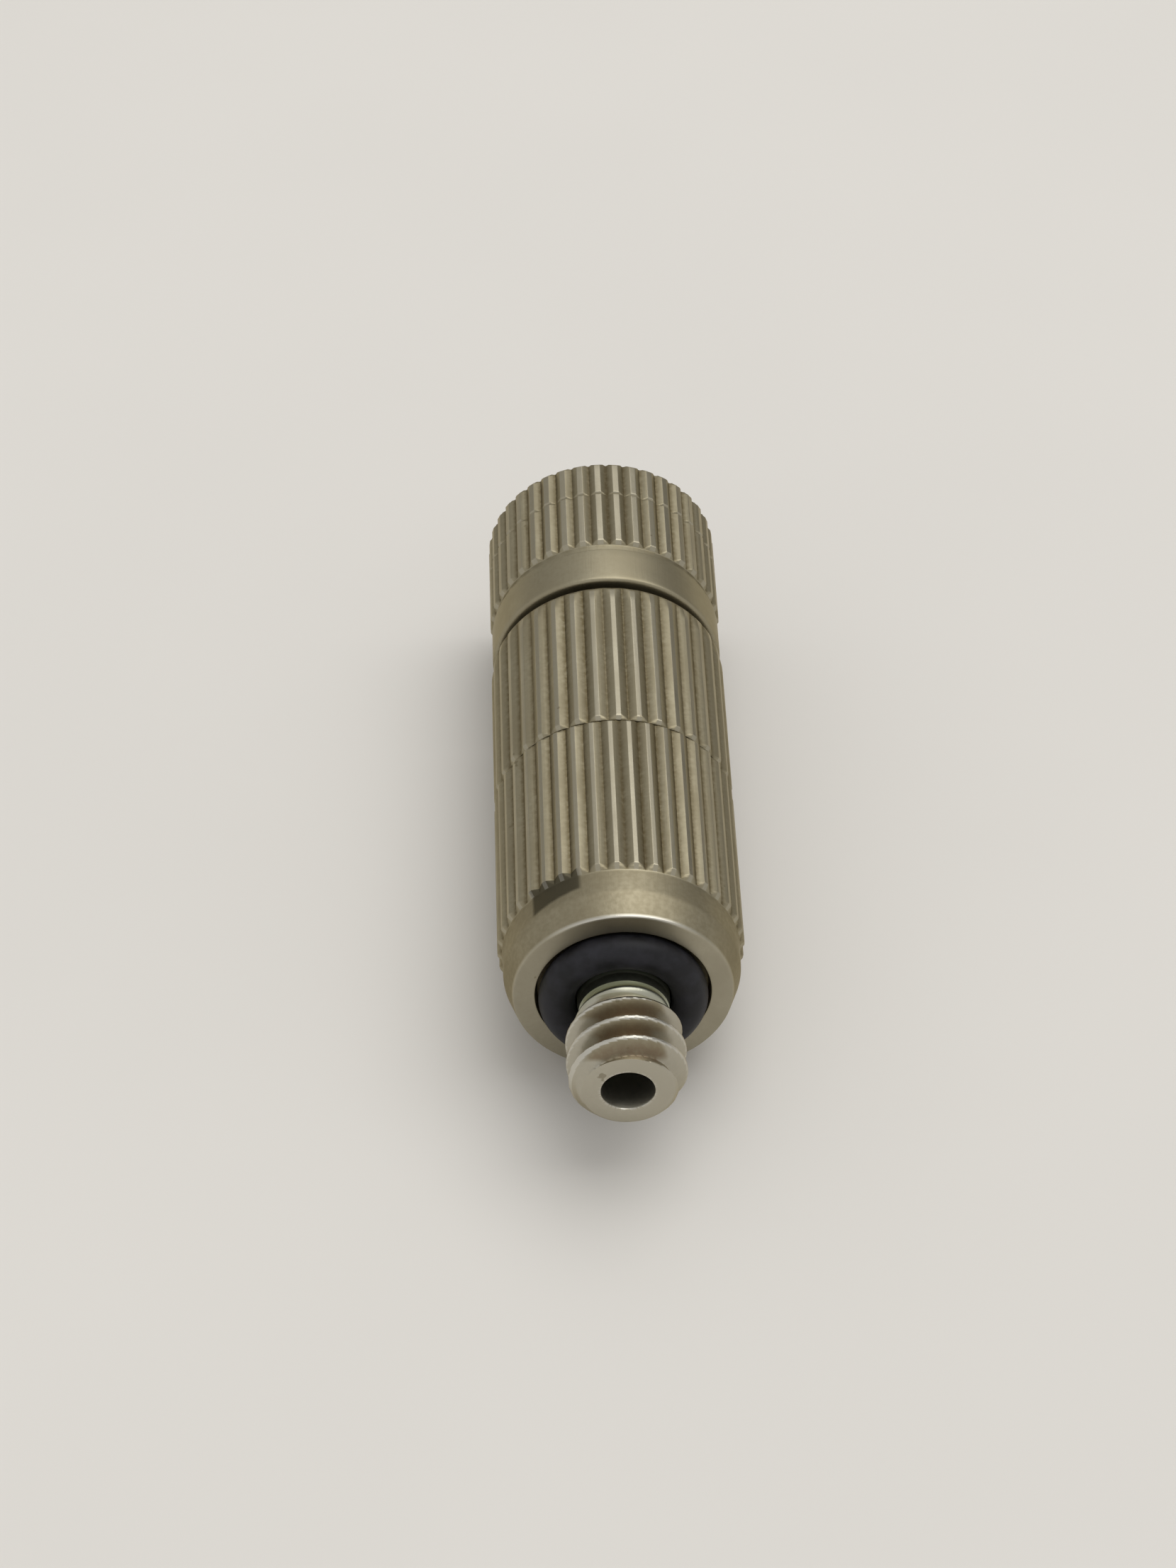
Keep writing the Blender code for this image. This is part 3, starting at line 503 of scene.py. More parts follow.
class NodeDesk:
    """Adds and links the nodes of one tree."""

    def __init__(self, tree: bpy.types.NodeTree) -> None:
        """Keeps the tree."""
        self.tree = tree

    def add(self, kind: str, operation: str | None = None) -> bpy.types.Node:
        """Adds a node.

        Args:
            kind: The node's kind.
            operation: What it does, where its kind has a choice.

        Returns:
            The node.
        """
        node = self.tree.nodes.new(kind)
        if operation:
            node.operation = operation
        return node

    def link(self, output: Socket, target: Socket) -> None:
        """Links two sockets."""
        self.tree.links.new(output, target)

    def ranged(self, value: Socket, source: Sizes, target: Sizes, smooth: bool = False) -> Socket:
        """Maps a value from one range to another and keeps it there.

        Args:
            value: The socket to map.
            source: Its (lowest, highest).
            target: What those become.
            smooth: Whether the ends of the range are eased.

        Returns:
            The mapped socket.
        """
        node = self.add("ShaderNodeMapRange")
        node.interpolation_type = "SMOOTHSTEP" if smooth else "LINEAR"
        self.link(value, node.inputs["Value"])
        for socket, number in zip(("From Min", "From Max", "To Min", "To Max"), (*source, *target)):
            node.inputs[socket].default_value = number
        return node.outputs["Result"]

    def combine(self, operation: str, first: Socket, second: Socket, clamp: bool = True) -> Socket:
        """Joins two sockets with a Math node.

        Args:
            operation: What the node does.
            first: Its first value.
            second: Its second value.
            clamp: Whether the result stays from 0 to 1.

        Returns:
            The result's socket.
        """
        node = self.add("ShaderNodeMath", operation)
        node.use_clamp = clamp
        self.link(first, node.inputs[0])
        self.link(second, node.inputs[1])
        return node.outputs["Value"]


class Finish(NodeDesk):
    """The nodes of one Principled material."""

    def __init__(self, name: str) -> None:
        """Makes the material and finds its shader.

        Args:
            name: The material's name.
        """
        self.material = bpy.data.materials.new(name)
        self.material.use_nodes = True
        super().__init__(self.material.node_tree)
        self.shader = self.tree.nodes["Principled BSDF"]
        self.place = self.add("ShaderNodeTexCoord").outputs["Object"]

    def feed(self, name: str, value: Socket | float | Sizes) -> None:
        """Links or sets one of the shader's sockets.

        Args:
            name: The socket.
            value: What is linked to it, or its value.
        """
        if isinstance(value, Socket):
            self.link(value, self.shader.inputs[name])
        else:
            self.shader.inputs[name].default_value = value

    def mark(self, name: str) -> Socket:
        """The value of one of the mesh's marks.

        Args:
            name: The mark.

        Returns:
            Its socket.
        """
        node = self.add("ShaderNodeAttribute")
        node.attribute_name = name
        return node.outputs["Fac"]

    def noise(self, per_mm: float, stretch: Sizes = (1.0, 1.0, 1.0), detail: float = 3.0) -> Socket:
        """Noise fixed to the piece.

        Args:
            per_mm: How many features there are in a millimetre.
            stretch: How much finer it is along X, Y and Z.
            detail: How many finer layers it has.

        Returns:
            A socket from 0 to 1.
        """
        mapping = self.add("ShaderNodeMapping")
        mapping.inputs["Scale"].default_value = [per_mm / MM * s for s in stretch]
        texture = self.add("ShaderNodeTexNoise")
        texture.inputs["Scale"].default_value = 1.0
        texture.inputs["Detail"].default_value = detail
        self.link(self.place, mapping.inputs["Vector"])
        self.link(mapping.outputs["Vector"], texture.inputs["Vector"])
        return texture.outputs["Fac"]

    def blend(self, share: Socket, first: Socket | Colour, second: Socket | Colour) -> Socket:
        """Mixes two colours.

        Args:
            share: How much of the second shows.
            first: A colour, or a socket that gives one.
            second: A colour, or a socket that gives one.

        Returns:
            The mixed colour's socket.
        """
        node = self.add("ShaderNodeMix")
        node.data_type = "RGBA"
        self.link(share, node.inputs["Factor"])
        colours = [socket for socket in node.inputs if socket.type == "RGBA"]
        for socket, colour in zip(colours, (first, second)):
            if isinstance(colour, Socket):
                self.link(colour, socket)
            else:
                socket.default_value = (*colour, 1.0)
        return next(socket for socket in node.outputs if socket.type == "RGBA")

    def bump(self, height: Socket, depth: float, strength: float = 1.0) -> None:
        """Adds a bump to the shader.

        Args:
            height: The height's socket, from 0 to 1.
            depth: How deep the bump is, in millimetres.
            strength: How strongly it shows.
        """
        node = self.add("ShaderNodeBump")
        node.inputs["Strength"].default_value = strength
        node.inputs["Distance"].default_value = depth * MM
        self.link(height, node.inputs["Height"])
        self.feed("Normal", node.outputs["Normal"])


@dataclass(frozen=True)
class TurnedMetal:
    """A turned metal with tool marks, darker roots, worn edges and patina, with painted shade, painted
    highlights and a painted dark reflection where it is marked.
    """

    name: str
    colour: Colour
    shade: Colour
    # The colour of the pits and of the darker hollows, which are partly painted shade.
    dirt_and_shade: Colour
    # The colour painted in thread roots as shade.
    root_shade_colour: Colour = (0.245, 0.19, 0.13)
    patina: Colour = (0.40, 0.45, 0.33)
    # The colour painted as a dark reflection.
    painted_dark_reflection: Colour = (0.085, 0.075, 0.05)
    # The colour of rubbed places and of painted highlights.
    bright: Colour = (0.62, 0.605, 0.55)
    edge: Colour = (0.80, 0.74, 0.60)
    rough: Sizes = (0.28, 0.52)
    marks_along: bool = False
    marks_depth: float = 0.004

    def build(self) -> Material:
        """Makes the material.

        Returns:
            The material.
        """
        desk = Finish(self.name)
        cloud = desk.noise(0.45, detail=4)
        speck = desk.noise(5.0, detail=5)
        stretch = (14.0, 0.5, 14.0) if self.marks_along else (0.5, 14.0, 0.5)
        lines = desk.noise(1.3, stretch, detail=3)
        base = desk.blend(desk.ranged(cloud, (0.35, 0.65), (0, 1)), self.colour, self.shade)
        base = desk.blend(desk.ranged(lines, (0.35, 0.8), (0, 0.35)), base, self.shade)
        base = desk.blend(desk.ranged(speck, (0.42, 0.68), (0, 0.6)), base, self.shade)
        # Darker hollows, partly painted shade, go towards the dark colour.
        patchy = desk.ranged(speck, (0.3, 0.6), (0.55, 1))
        grime_and_shade = desk.combine("MULTIPLY", desk.mark("grime_and_shade"), patchy)
        base = desk.blend(grime_and_shade, base, self.dirt_and_shade)
        # Painted shade: the marked thread roots go darker.
        patchy = desk.ranged(speck, (0.35, 0.6), (0.5, 1))
        base = desk.blend(desk.combine("MULTIPLY", desk.mark("painted_root_shade"), patchy), base, self.root_shade_colour)
        base = desk.blend(desk.mark("green"), base, self.patina)
        # A painted dark reflection.
        base = desk.blend(desk.mark("painted_dark_reflection"), base, self.painted_dark_reflection)
        # Rubbed places and painted highlights go lighter.
        wear_and_highlight = desk.mark("wear_and_highlight")
        base = desk.blend(wear_and_highlight, base, self.bright)
        pits = desk.ranged(desk.noise(1.6, detail=2), (0.74, 0.77), (0, 0.5))
        desk.feed("Base Color", desk.blend(pits, base, self.dirt_and_shade))
        desk.feed("Metallic", 1.0)
        desk.feed("Specular Tint", (*self.edge, 1.0))
        dull = desk.combine("ADD", grime_and_shade, desk.ranged(cloud, (0.3, 0.7), (0.3, 0.8)))
        dull = desk.combine("SUBTRACT", dull, desk.ranged(wear_and_highlight, (0, 0.4), (0, 0.6)))
        desk.feed("Roughness", desk.ranged(dull, (0, 1), self.rough))
        broken = desk.ranged(speck, (0, 1), (0.6, 1))
        desk.bump(desk.combine("MULTIPLY", lines, broken), self.marks_depth)
        return desk.material


@dataclass(frozen=True)
class Rubber:
    """Black nitrile rubber with a faint bloom and fine moulded grain."""

    name: str = "nitrile_rubber"
    colour: Colour = (0.009, 0.009, 0.011)
    bloom: Colour = (0.024, 0.024, 0.030)
    rough: Sizes = (0.42, 0.62)

    def build(self) -> Material:
        """Makes the material.

        Returns:
            The material.
        """
        desk = Finish(self.name)
        cloud = desk.noise(1.2, detail=4)
        grain = desk.noise(22.0, detail=2)
        base = desk.blend(desk.ranged(cloud, (0.4, 0.7), (0, 1)), self.colour, self.bloom)
        desk.feed("Base Color", base)
        desk.feed("Roughness", desk.ranged(cloud, (0.3, 0.7), self.rough))
        desk.feed("Specular IOR Level", 0.25)
        desk.bump(grain, 0.006, 0.5)
        return desk.material


@dataclass(frozen=True)
class MouldedPlastic:
    """Off-white moulded acetal, faintly cloudy, with flow marks and a slight yellowing."""

    name: str = "moulded_acetal"
    colour: Colour = (0.72, 0.70, 0.64)
    tint: Colour = (0.62, 0.57, 0.45)
    rough: Sizes = (0.38, 0.52)

    def build(self) -> Material:
        """Makes the material.

        Returns:
            The material.
        """
        desk = Finish(self.name)
        cloud = desk.noise(0.9, detail=4)
        grain = desk.noise(14.0, detail=3)
        base = desk.blend(desk.ranged(cloud, (0.4, 0.75), (0, 0.8)), self.colour, self.tint)
        desk.feed("Base Color", base)
        desk.feed("Roughness", desk.ranged(grain, (0.3, 0.7), self.rough))
        desk.feed("Subsurface Weight", 0.1)
        desk.feed("Subsurface Radius", (0.4 * MM, 0.3 * MM, 0.2 * MM))
        desk.bump(grain, 0.004, 0.6)
        return desk.material


@dataclass(frozen=True)
class WovenWire:
    """Fine woven steel mesh: crossing wires in relief over gaps painted dark as shade."""

    name: str = "woven_wire_screen"
    wires_per_mm: float = 5.0
    radius: float = 2.2
    colour: Colour = (0.56, 0.56, 0.55)
    opening_shade: Colour = (0.03, 0.03, 0.03)

    def build(self) -> Material:
        """Makes the material.

        Returns:
            The material.
        """
        desk = Finish(self.name)
        split = desk.add("ShaderNodeSeparateXYZ")
        desk.link(desk.place, split.inputs["Vector"])
        angle = desk.combine("ARCTAN2", split.outputs["X"], split.outputs["Z"], clamp=False)
        round_it = self._wave(desk, angle, self.wires_per_mm * self.radius)
        along = self._wave(desk, split.outputs["Y"], self.wires_per_mm / MM * TURN / 2)
        relief = desk.combine("MAXIMUM", round_it, along)
        shine = desk.ranged(relief, (0.35, 0.6), (0, 1))
        # The gaps between wires are painted dark, as painted shade.
        desk.feed("Base Color", desk.blend(shine, self.opening_shade, self.colour))
        desk.feed("Roughness", desk.ranged(relief, (0.3, 0.7), (0.8, 0.3)))
        desk.feed("Metallic", 0.9)
        desk.bump(relief, 0.05)
        return desk.material

    @staticmethod
    def _wave(desk: Finish, value: Socket, rate: float) -> Socket:
        """The absolute sine of a value times a rate.

        Args:
            desk: The material's nodes.
            value: The socket.
            rate: What it is multiplied by.

        Returns:
            A socket from 0 to 1.
        """
        for operation in ("MULTIPLY", "SINE", "ABSOLUTE"):
            node = desk.add("ShaderNodeMath", operation)
            if operation == "MULTIPLY":
                node.inputs[1].default_value = rate
            desk.link(value, node.inputs[0])
            value = node.outputs["Value"]
        return value


NICKEL = TurnedMetal(
    "nickel_plate_knurled",
    colour=(0.345, 0.312, 0.222),
    shade=(0.295, 0.262, 0.180),
    dirt_and_shade=(0.150, 0.122, 0.068),
    marks_along=True,
)
BRASS = TurnedMetal(
    "turned_brass", colour=(0.66, 0.47, 0.20), shade=(0.56, 0.38, 0.15), dirt_and_shade=(0.22, 0.14, 0.05)
)
STEEL = TurnedMetal(
    "turned_steel",
    colour=(0.58, 0.58, 0.56),
    shade=(0.50, 0.50, 0.49),
    dirt_and_shade=(0.18, 0.17, 0.16),
    rough=(0.18, 0.3),
)
SPRING_WIRE = replace(STEEL, name="spring_wire", rough=(0.2, 0.34), marks_depth=0.002)


class Finishes:
    """Every finish of the nozzle, made once."""

    def __init__(self) -> None:
        """Builds the materials."""
        self.of_slot = {
            Slot.NICKEL: NICKEL.build(),
            Slot.BRASS: BRASS.build(),
            Slot.STAINLESS: STEEL.build(),
            Slot.RUBBER: Rubber().build(),
            Slot.PLASTIC: MouldedPlastic().build(),
        }
        self.wire = SPRING_WIRE.build()
        self.screen = WovenWire().build()


# ---------------------------------------------------------------- the nozzle


@dataclass
class Assembly:
    """What the sub-assemblies share: the finishes, and how a piece goes into the scene."""

    finishes: Finishes

    def piece(
        self, mesh: Mesh, body: Body, slot: Slot, node: str, finish: Material | None = None
    ) -> Object:
        """Puts a piece into the scene, on its body, in place of its solid.

        Args:
            mesh: Its mesh, which also gives its name.
            body: The body it rides on.
            slot: The material slot, which picks its finish.
            node: The frame's solid that it stands for.
            finish: Its finish, where that isn't the slot's own.

        Returns:
            The new object.
        """
        obj = bpy.data.objects.new(mesh.name, mesh)
        bpy.context.scene.collection.objects.link(obj)
        mesh.materials.clear()
        mesh.materials.append(finish or self.finishes.of_slot[slot])
        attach(obj, body.value)
        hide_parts(node)
        log.info("%s rides on %s and stands for %s", obj.name, body.value, node)
        return obj

    def turn(
        self,
        name: str,
        body: Body,
        slot: Slot,
        node: str,
        *corners: Sizes,
        columns: int = 96,
        finish: Material | None = None,
    ) -> Object:
        """Turns a piece about the axis and puts it into the scene.

        Args:
            name: The piece's name.
            body: The body it rides on.
            slot: The material slot, which picks its finish.
            node: The frame's solid that it stands for.
            *corners: The section's corners, as Profile takes them. A run that starts off the axis
                comes back to its first corner.
            columns: How many columns it has round the axis.
            finish: Its finish, where that isn't the slot's own.

        Returns:
            The new object.
        """
        band = Band.turned(Profile(corners), round_angles(columns))
        mesh = Sweep(name).add(band).mesh(closed=corners[0][1] > 0)
        return self.piece(mesh, body, slot, node, finish)


class Half(Enum):
    """The two halves of a screw joint."""

    SPIGOT = "spigot"
    SOCKET = "socket"


@dataclass(frozen=True)
class SectionThread:
    """The screw joint between two sections: an outer thread and the groove that takes it."""

    pitch: float = 0.75
    depth: float = 0.46
    foot: float = 0.6
    crest: float = 0.12
    step: float = 0.06
    root_gap: float = 0.12
    crest_gap: float = 0.09
    foot_less: float = 0.005
    crest_more: float = 0.026
    mark_angle: float = 90

    def band(
        self, half: Half, crest_radius: float, run: Sizes, mark: float, angles: np.ndarray
    ) -> Band:
        """Rings over the thread of one half.

        Args:
            half: Which half it is on.
            crest_radius: The radius of the outer thread's crest.
            run: Where the thread starts and ends along the axis.
            mark: Where a crest stands at a quarter turn from the top.
            angles: The columns' angles.

        Returns:
            The band, darker in the thread's root.
        """
        core, outer, foot, crest = crest_radius - self.depth, crest_radius, self.foot, self.crest
        if half is Half.SOCKET:
            core += self.root_gap
            outer += self.crest_gap
            foot -= self.foot_less
            crest += self.crest_more
        thread = Thread(core, outer, self.pitch, foot, crest, mark, self.mark_angle, *run)
        along = rings_between(*run, self.step)[:, None] * np.ones(len(angles))
        band = Band(angles, along, thread.radii(along, angles))
        band.mark("grime_and_shade", 0.6 * (1 - thread.height(along, angles)))
        return band


@dataclass
class InletBody(Assembly):
    """The knurled inlet body with its threaded stem, its seating face and the chamber inside."""

    radius: float = 5.0
    length: float = 10.8
    knurl: Knurl = Knurl(40, -2.2, seed=11)
    knurl_start: float = 2.47
    band: tuple[Sizes, ...] = ((2.24, 4.81), (1.05, 4.78), (0.0, 4.42))
    recess: Sizes = (3.5, 0.6)
    neck: Sizes = (1.86, -0.5)
    stem: Thread = Thread(1.72, 2.39, 1.058, 0.80, 0.12, -2.38, 0, -5.6, -1.0, fade_end=1.45)
    stem_step: float = 0.028
    stem_end: float = -5.2
    stem_face: float = 1.84
    stem_bore: float = 1.05
    lead_in: float = 0.62
    bright_bore: float = 1.6
    chamber: Sizes = (1.5, 1.9, 6.0, 2.9)
    filter_seat: Sizes = (6.98, 3.64)
    joint: SectionThread = SectionThread()
    joint_crest: float = 3.98
    joint_run: Sizes = (7.0, 9.96)
    mouth: float = 4.25
    # Where the dark reflection is painted on the band: middle angle, half width, lowest place and
    # slope.
    painted_dark_reflection: Sizes = (-34, 14.5, 1.35, 0.012)
    # How far the painted root shade reaches to each side of the top, in degrees.
    root_shade_half_width: float = 47
    columns: tuple[int, int] = (220, 110)

    def build(self) -> None:
        """Turns the body and puts it into the scene."""
        angles = self.knurl.angles()
        fine, coarse = (angles[0] + round_angles(columns) for columns in self.columns)
        bore = Band.turned(self._bore(), coarse)
        bore.mark("wear_and_highlight", bore.along < self.bright_bore)
        mouth = Profile(((self.joint_run[1], self.mouth, 0, 1), (self.length, self.mouth, 0, 1)))
        sweep = Sweep("turned_inlet_body")
        sweep.add(self._skin(angles)).add(self._recess(fine)).add(self._stem(fine)).add(bore)
        sweep.add(
            self.joint.band(
                Half.SOCKET, self.joint_crest, self.joint_run, self.joint_run[1], coarse
            )
        )
        sweep.add(Band.turned(mouth, coarse))
        self.piece(sweep.mesh(), Body.INLET, Slot.NICKEL, "inlet_body")

    def _skin(self, angles: np.ndarray) -> Band:
        """The knurled outside, from the joint to the seating face.

        Args:
            angles: The knurl's columns.

        Returns:
            The band.
        """
        (band_end, band_radius), (cone, cone_radius), (face, face_radius) = self.band
        corners = (
            (self.length, 4.3, 0, 1), (self.length, self.radius - 0.15, 0.03, 7),
            (self.length - 0.15, self.radius, 0.05, 2), (self.length - 0.3, self.radius, 0, 8),
            (self.knurl_start + 0.2, self.radius, 0, 2), (self.knurl_start, self.radius, 0.03, 10),
            (band_end, band_radius, 0.03, 14), (cone, cone_radius, 0.12, 8),
            (face, face_radius, 0.04, 1), (face, face_radius - 0.12, 0, 1),
            (face, self.recess[0] + 0.1, 0, 1),
        )
        band = Band.turned(Profile(corners), angles)
        band.cut_knurl(self.knurl, self.radius, self.knurl_start - 0.22, self.length)
        self._age_skin(band)
        return band

    def _age_skin(self, band: Band) -> None:
        """Marks the patch painted as a dark reflection, the rim with its painted highlight at the top,
        the face and the plain band painted darker as shade.

        Args:
            band: The outside.
        """
        turn = from_top(band.angles)
        middle, half_width, lowest, slope = self.painted_dark_reflection
        rim_radius = self.band[2][1]
        around = np.clip((half_width - np.abs(turn - middle)) / 2, 0, 1)
        edge = np.clip((band.along - (lowest + slope * (turn - middle))) / 0.12, 0, 1)
        # Painted dark reflection: a patch on the band's left.
        band.mark("painted_dark_reflection", around * (edge * (band.along < self.knurl_start + 0.03)))
        # The rim is rubbed all round and painted brighter towards the top, as a painted highlight.
        near_rim = np.hypot(band.along, band.radii - rim_radius) < 0.05
        rim = near_rim * np.clip(1.3 - np.abs(turn) / 40, 0.2, 0.85)
        face = 0.18 * (band.along < 0.005) * (band.radii < rim_radius - 0.1)
        band.marks["wear_and_highlight"] = np.maximum(band.marks["wear_and_highlight"], np.maximum(face, rim))
        # Painted shade: the plain band goes darker and rougher.
        plain = (band.along > 0.05) & (band.along < self.knurl_start - 0.3)
        band.marks["grime_and_shade"] = np.maximum(band.marks["grime_and_shade"], 0.3 * plain)

    def _recess(self, angles: np.ndarray) -> Band:
        """The ring's recess in the seating face and the plain neck.

        Args:
            angles: The columns' angles.

        Returns:
            The band.
        """
        radius, depth = self.recess
        neck, neck_end = self.neck
        corners = (
            (0, radius + 0.05, 0, 1), (0.06, radius, 0.03, 2), (depth, radius, 0.12, 2),
            (depth, neck, 0.12, 2), (neck_end, neck, 0, 1),
        )
        band = Band.turned(Profile(corners), angles)
        band.mark("green", 0.8 * ((band.radii < neck + 0.14) & (band.along < depth - 0.1)))
        # Painted shade on the recess's floor.
        band.mark("grime_and_shade", 0.7 * (band.along > depth - 0.2))
        return band

    def _stem(self, angles: np.ndarray) -> Band:
        """The stem's thread down to the lead-in cone and the end face.

        Args:
            angles: The columns' angles.

        Returns:
            The band.
        """
        end, face, bore = self.stem_end, self.stem_face, self.stem_bore
        turned = rings_between(self.neck[1] - 0.05, end + 0.05, self.stem_step)
        last = ((end + 0.015, face), (end, face - 0.04), (end, bore + 0.15), (end, bore + 0.03))
        places = np.concatenate([turned, [place for place, _ in last]])
        along = places[:, None] * np.ones(len(angles))
        cone = face + (along - end) * (self.stem.crest - face) / self.lead_in
        neck = np.where(along > self.stem.end, self.neck[0] - 0.04, 0)
        radii = np.maximum(np.minimum(self.stem.radii(along, angles), cone), neck)
        radii[-len(last) :] = np.array([radius for _, radius in last])[:, None]
        band = Band(angles, along, radii)
        self._age_stem(band)
        return band

    def _age_stem(self, band: Band) -> None:
        """Marks the stem's roots painted darker as shade on the top, its green neck with a painted
        highlight, its worn crests and end, and its sides painted pale as a reflection.

        Args:
            band: The stem.
        """
        along, end = band.along, self.stem_end
        height = self.stem.height(along, band.angles)
        root = np.clip(1.5 - 1.6 * height, 0, 1) * np.clip((along - end - 0.12) / 0.25, 0, 1)
        ragged = self.root_shade_half_width + 6 * np.sin(9 * along) + 4 * np.sin(23 * along + band.angles)
        top = np.clip((ragged - np.abs(from_top(band.angles))) / 12, 0, 1)
        below_neck = np.clip((-1.3 - along) / 0.4, 0, 1)
        # Painted shade: the roots go darker on the top only, where the next flank hides them.
        band.mark("painted_root_shade", root * top * below_neck)
        band.mark("green", 0.75 * np.clip((along + 1.9) / 0.5, 0, 1) * (1 - 0.6 * height))
        # More painted shade in the roots.
        band.mark("grime_and_shade", 0.35 * root)
        crests = 0.8 * (height > 0.93) * (along > end + 0.4)
        # Painted reflection: the sides go pale, as the lit table shows in them.
        sides = 0.42 * (1 - top) * below_neck * (along > end + 0.03)
        # The end face is rubbed; the neck is painted lighter, as a painted highlight.
        ends = 0.4 * (along < end + 0.03) + 0.35 * (along > -1.6)
        band.mark("wear_and_highlight", np.maximum(crests, np.maximum(ends, sides)))

    def _bore(self) -> Profile:
        """The bore, the strainer's chamber and the shoulder, up to the inner thread.

        Returns:
            The run.
        """
        end, bore = self.stem_end, self.stem_bore
        cone_start, chamber_start, chamber_end, chamber = self.chamber
        seat_end, seat = self.filter_seat
        corners = (
            (end, bore + 0.03, 0, 1), (end + 0.06, bore, 0, 6), (cone_start, bore, 0, 1),
            (chamber_start, chamber, 0.05, 3), (chamber_end, chamber, 0, 1),
            (chamber_end, seat, 0.04, 1), (seat_end, seat, 0, 1),
        )
        return Profile(corners)


@dataclass
class ElastomerRing(Assembly):
    """A moulded rubber ring of round section with a faint mould line."""

    radius: float = 2.66
    section: float = 0.74
    position: float = -0.18
    steps: int = 128
    around: int = 40
    flash: Sizes = (0.012, 0.06)

    def build(self, name: str, body: Body, node: str) -> None:
        """Moulds the ring and puts it into the scene.

        Args:
            name: The piece's name.
            body: The body it rides on.
            node: The solid that it stands for.
        """
        turns = np.arange(self.around) / self.around * TURN
        height, width = self.flash
        flash = 1 + height * np.exp(-((np.sin(turns) / width) ** 2))
        ones = np.ones(self.steps)
        along = self.position - self.section * np.cos(turns)[:, None] * ones
        radii = self.radius + (self.section * np.sin(turns) * flash)[:, None] * ones
        mesh = Sweep(name).add(Band(round_angles(self.steps), along, radii)).mesh()
        self.piece(mesh, body, Slot.RUBBER, node)


@dataclass
class MiddleBody(Assembly):
    """The knurled middle body with a threaded spigot at each end and the valve's bore."""

    radius: float = 5.0
    start: float = 10.84
    end: float = 19.10
    knurl: Knurl = Knurl(36, 2.2, seed=23)
    taper: float = 0.75
    thread: SectionThread = SectionThread()
    near_thread: Sizes = (3.98, 9.96, 7.36, 9.66)
    far_thread: Sizes = (3.48, 20.2, 20.4, 22.4)
    near_neck: Profile = Profile(((10.84, 3.4, 0, 1), (9.96, 3.4, 0, 1), (9.86, 3.52, 0, 1)))
    near_end: Profile = Profile(((7.1, 3.52, 0, 1), (7.0, 3.42, 0, 1)))
    far_tip: Profile = Profile(((23.0, 2.92, 0, 1), (22.9, 3.02, 0, 1), (22.5, 3.02, 0, 1)))
    far_neck: Profile = Profile(((20.1, 3.02, 0, 1), (20.0, 2.95, 0, 1), (19.10, 2.95, 0, 1)))
    passage: Sizes = (7.0, 9.0, 1.3)
    valve_bore: Sizes = (23.0, 2.3)
    columns: tuple[int, int] = (198, 99)

    def build(self) -> None:
        """Turns the body and puts it into the scene."""
        angles = self.knurl.angles()
        fine, coarse = (angles[0] + round_angles(columns) for columns in self.columns)
        sweep = Sweep("turned_middle_body").add(self._skin(angles))
        sweep.add(Band.turned(self.near_neck, fine)).add(self._spigot(self.near_thread, fine))
        sweep.add(Band.turned(self.near_end, fine)).add(Band.turned(self._bore(), coarse))
        sweep.add(Band.turned(self.far_tip, fine)).add(self._spigot(self.far_thread, fine))
        sweep.add(Band.turned(self.far_neck, fine))
        self.piece(sweep.mesh(), Body.MIDDLE, Slot.NICKEL, "middle_body")

    def _spigot(self, sizes: Sizes, angles: np.ndarray) -> Band:
        """The outer thread of one spigot, from its (crest, mark, start, end)."""
        crest, mark, *run = sizes
        return self.thread.band(Half.SPIGOT, crest, run, mark, angles).reversed()

    def _skin(self, angles: np.ndarray) -> Band:
        """The knurled outside, whose ridges round off towards the cap.

        Args:
            angles: The knurl's columns.

        Returns:
            The band.
        """
        start, end = self.start, self.end
        corners = (
            (end, 4.3, 0, 1), (end, self.radius - 0.20, 0.05, 6),
            (end - 0.22, self.radius - 0.07, 0.12, 6), (end - self.taper, self.radius, 0.2, 8),
            (start + 0.3, self.radius, 0, 2), (start + 0.15, self.radius, 0.05, 7),
            (start, self.radius - 0.15, 0.03, 1), (start, 4.3, 0, 1),
        )
        band = Band.turned(Profile(corners), angles)
        band.cut_knurl(self.knurl, self.radius, start, end)
        return band

    def _bore(self) -> Profile:
        """The inlet passage and the valve's bore.

        Returns:
            The run.
        """
        near, step, inlet = self.passage
        far, bore = self.valve_bore
        corners = (
            (near, inlet + 0.1, 0, 1), (near + 0.1, inlet, 0, 2), (step, inlet, 0, 1),
            (step, bore, 0, 5), (far - 0.1, bore, 0, 1), (far, bore + 0.1, 0, 1),
        )
        return Profile(corners)


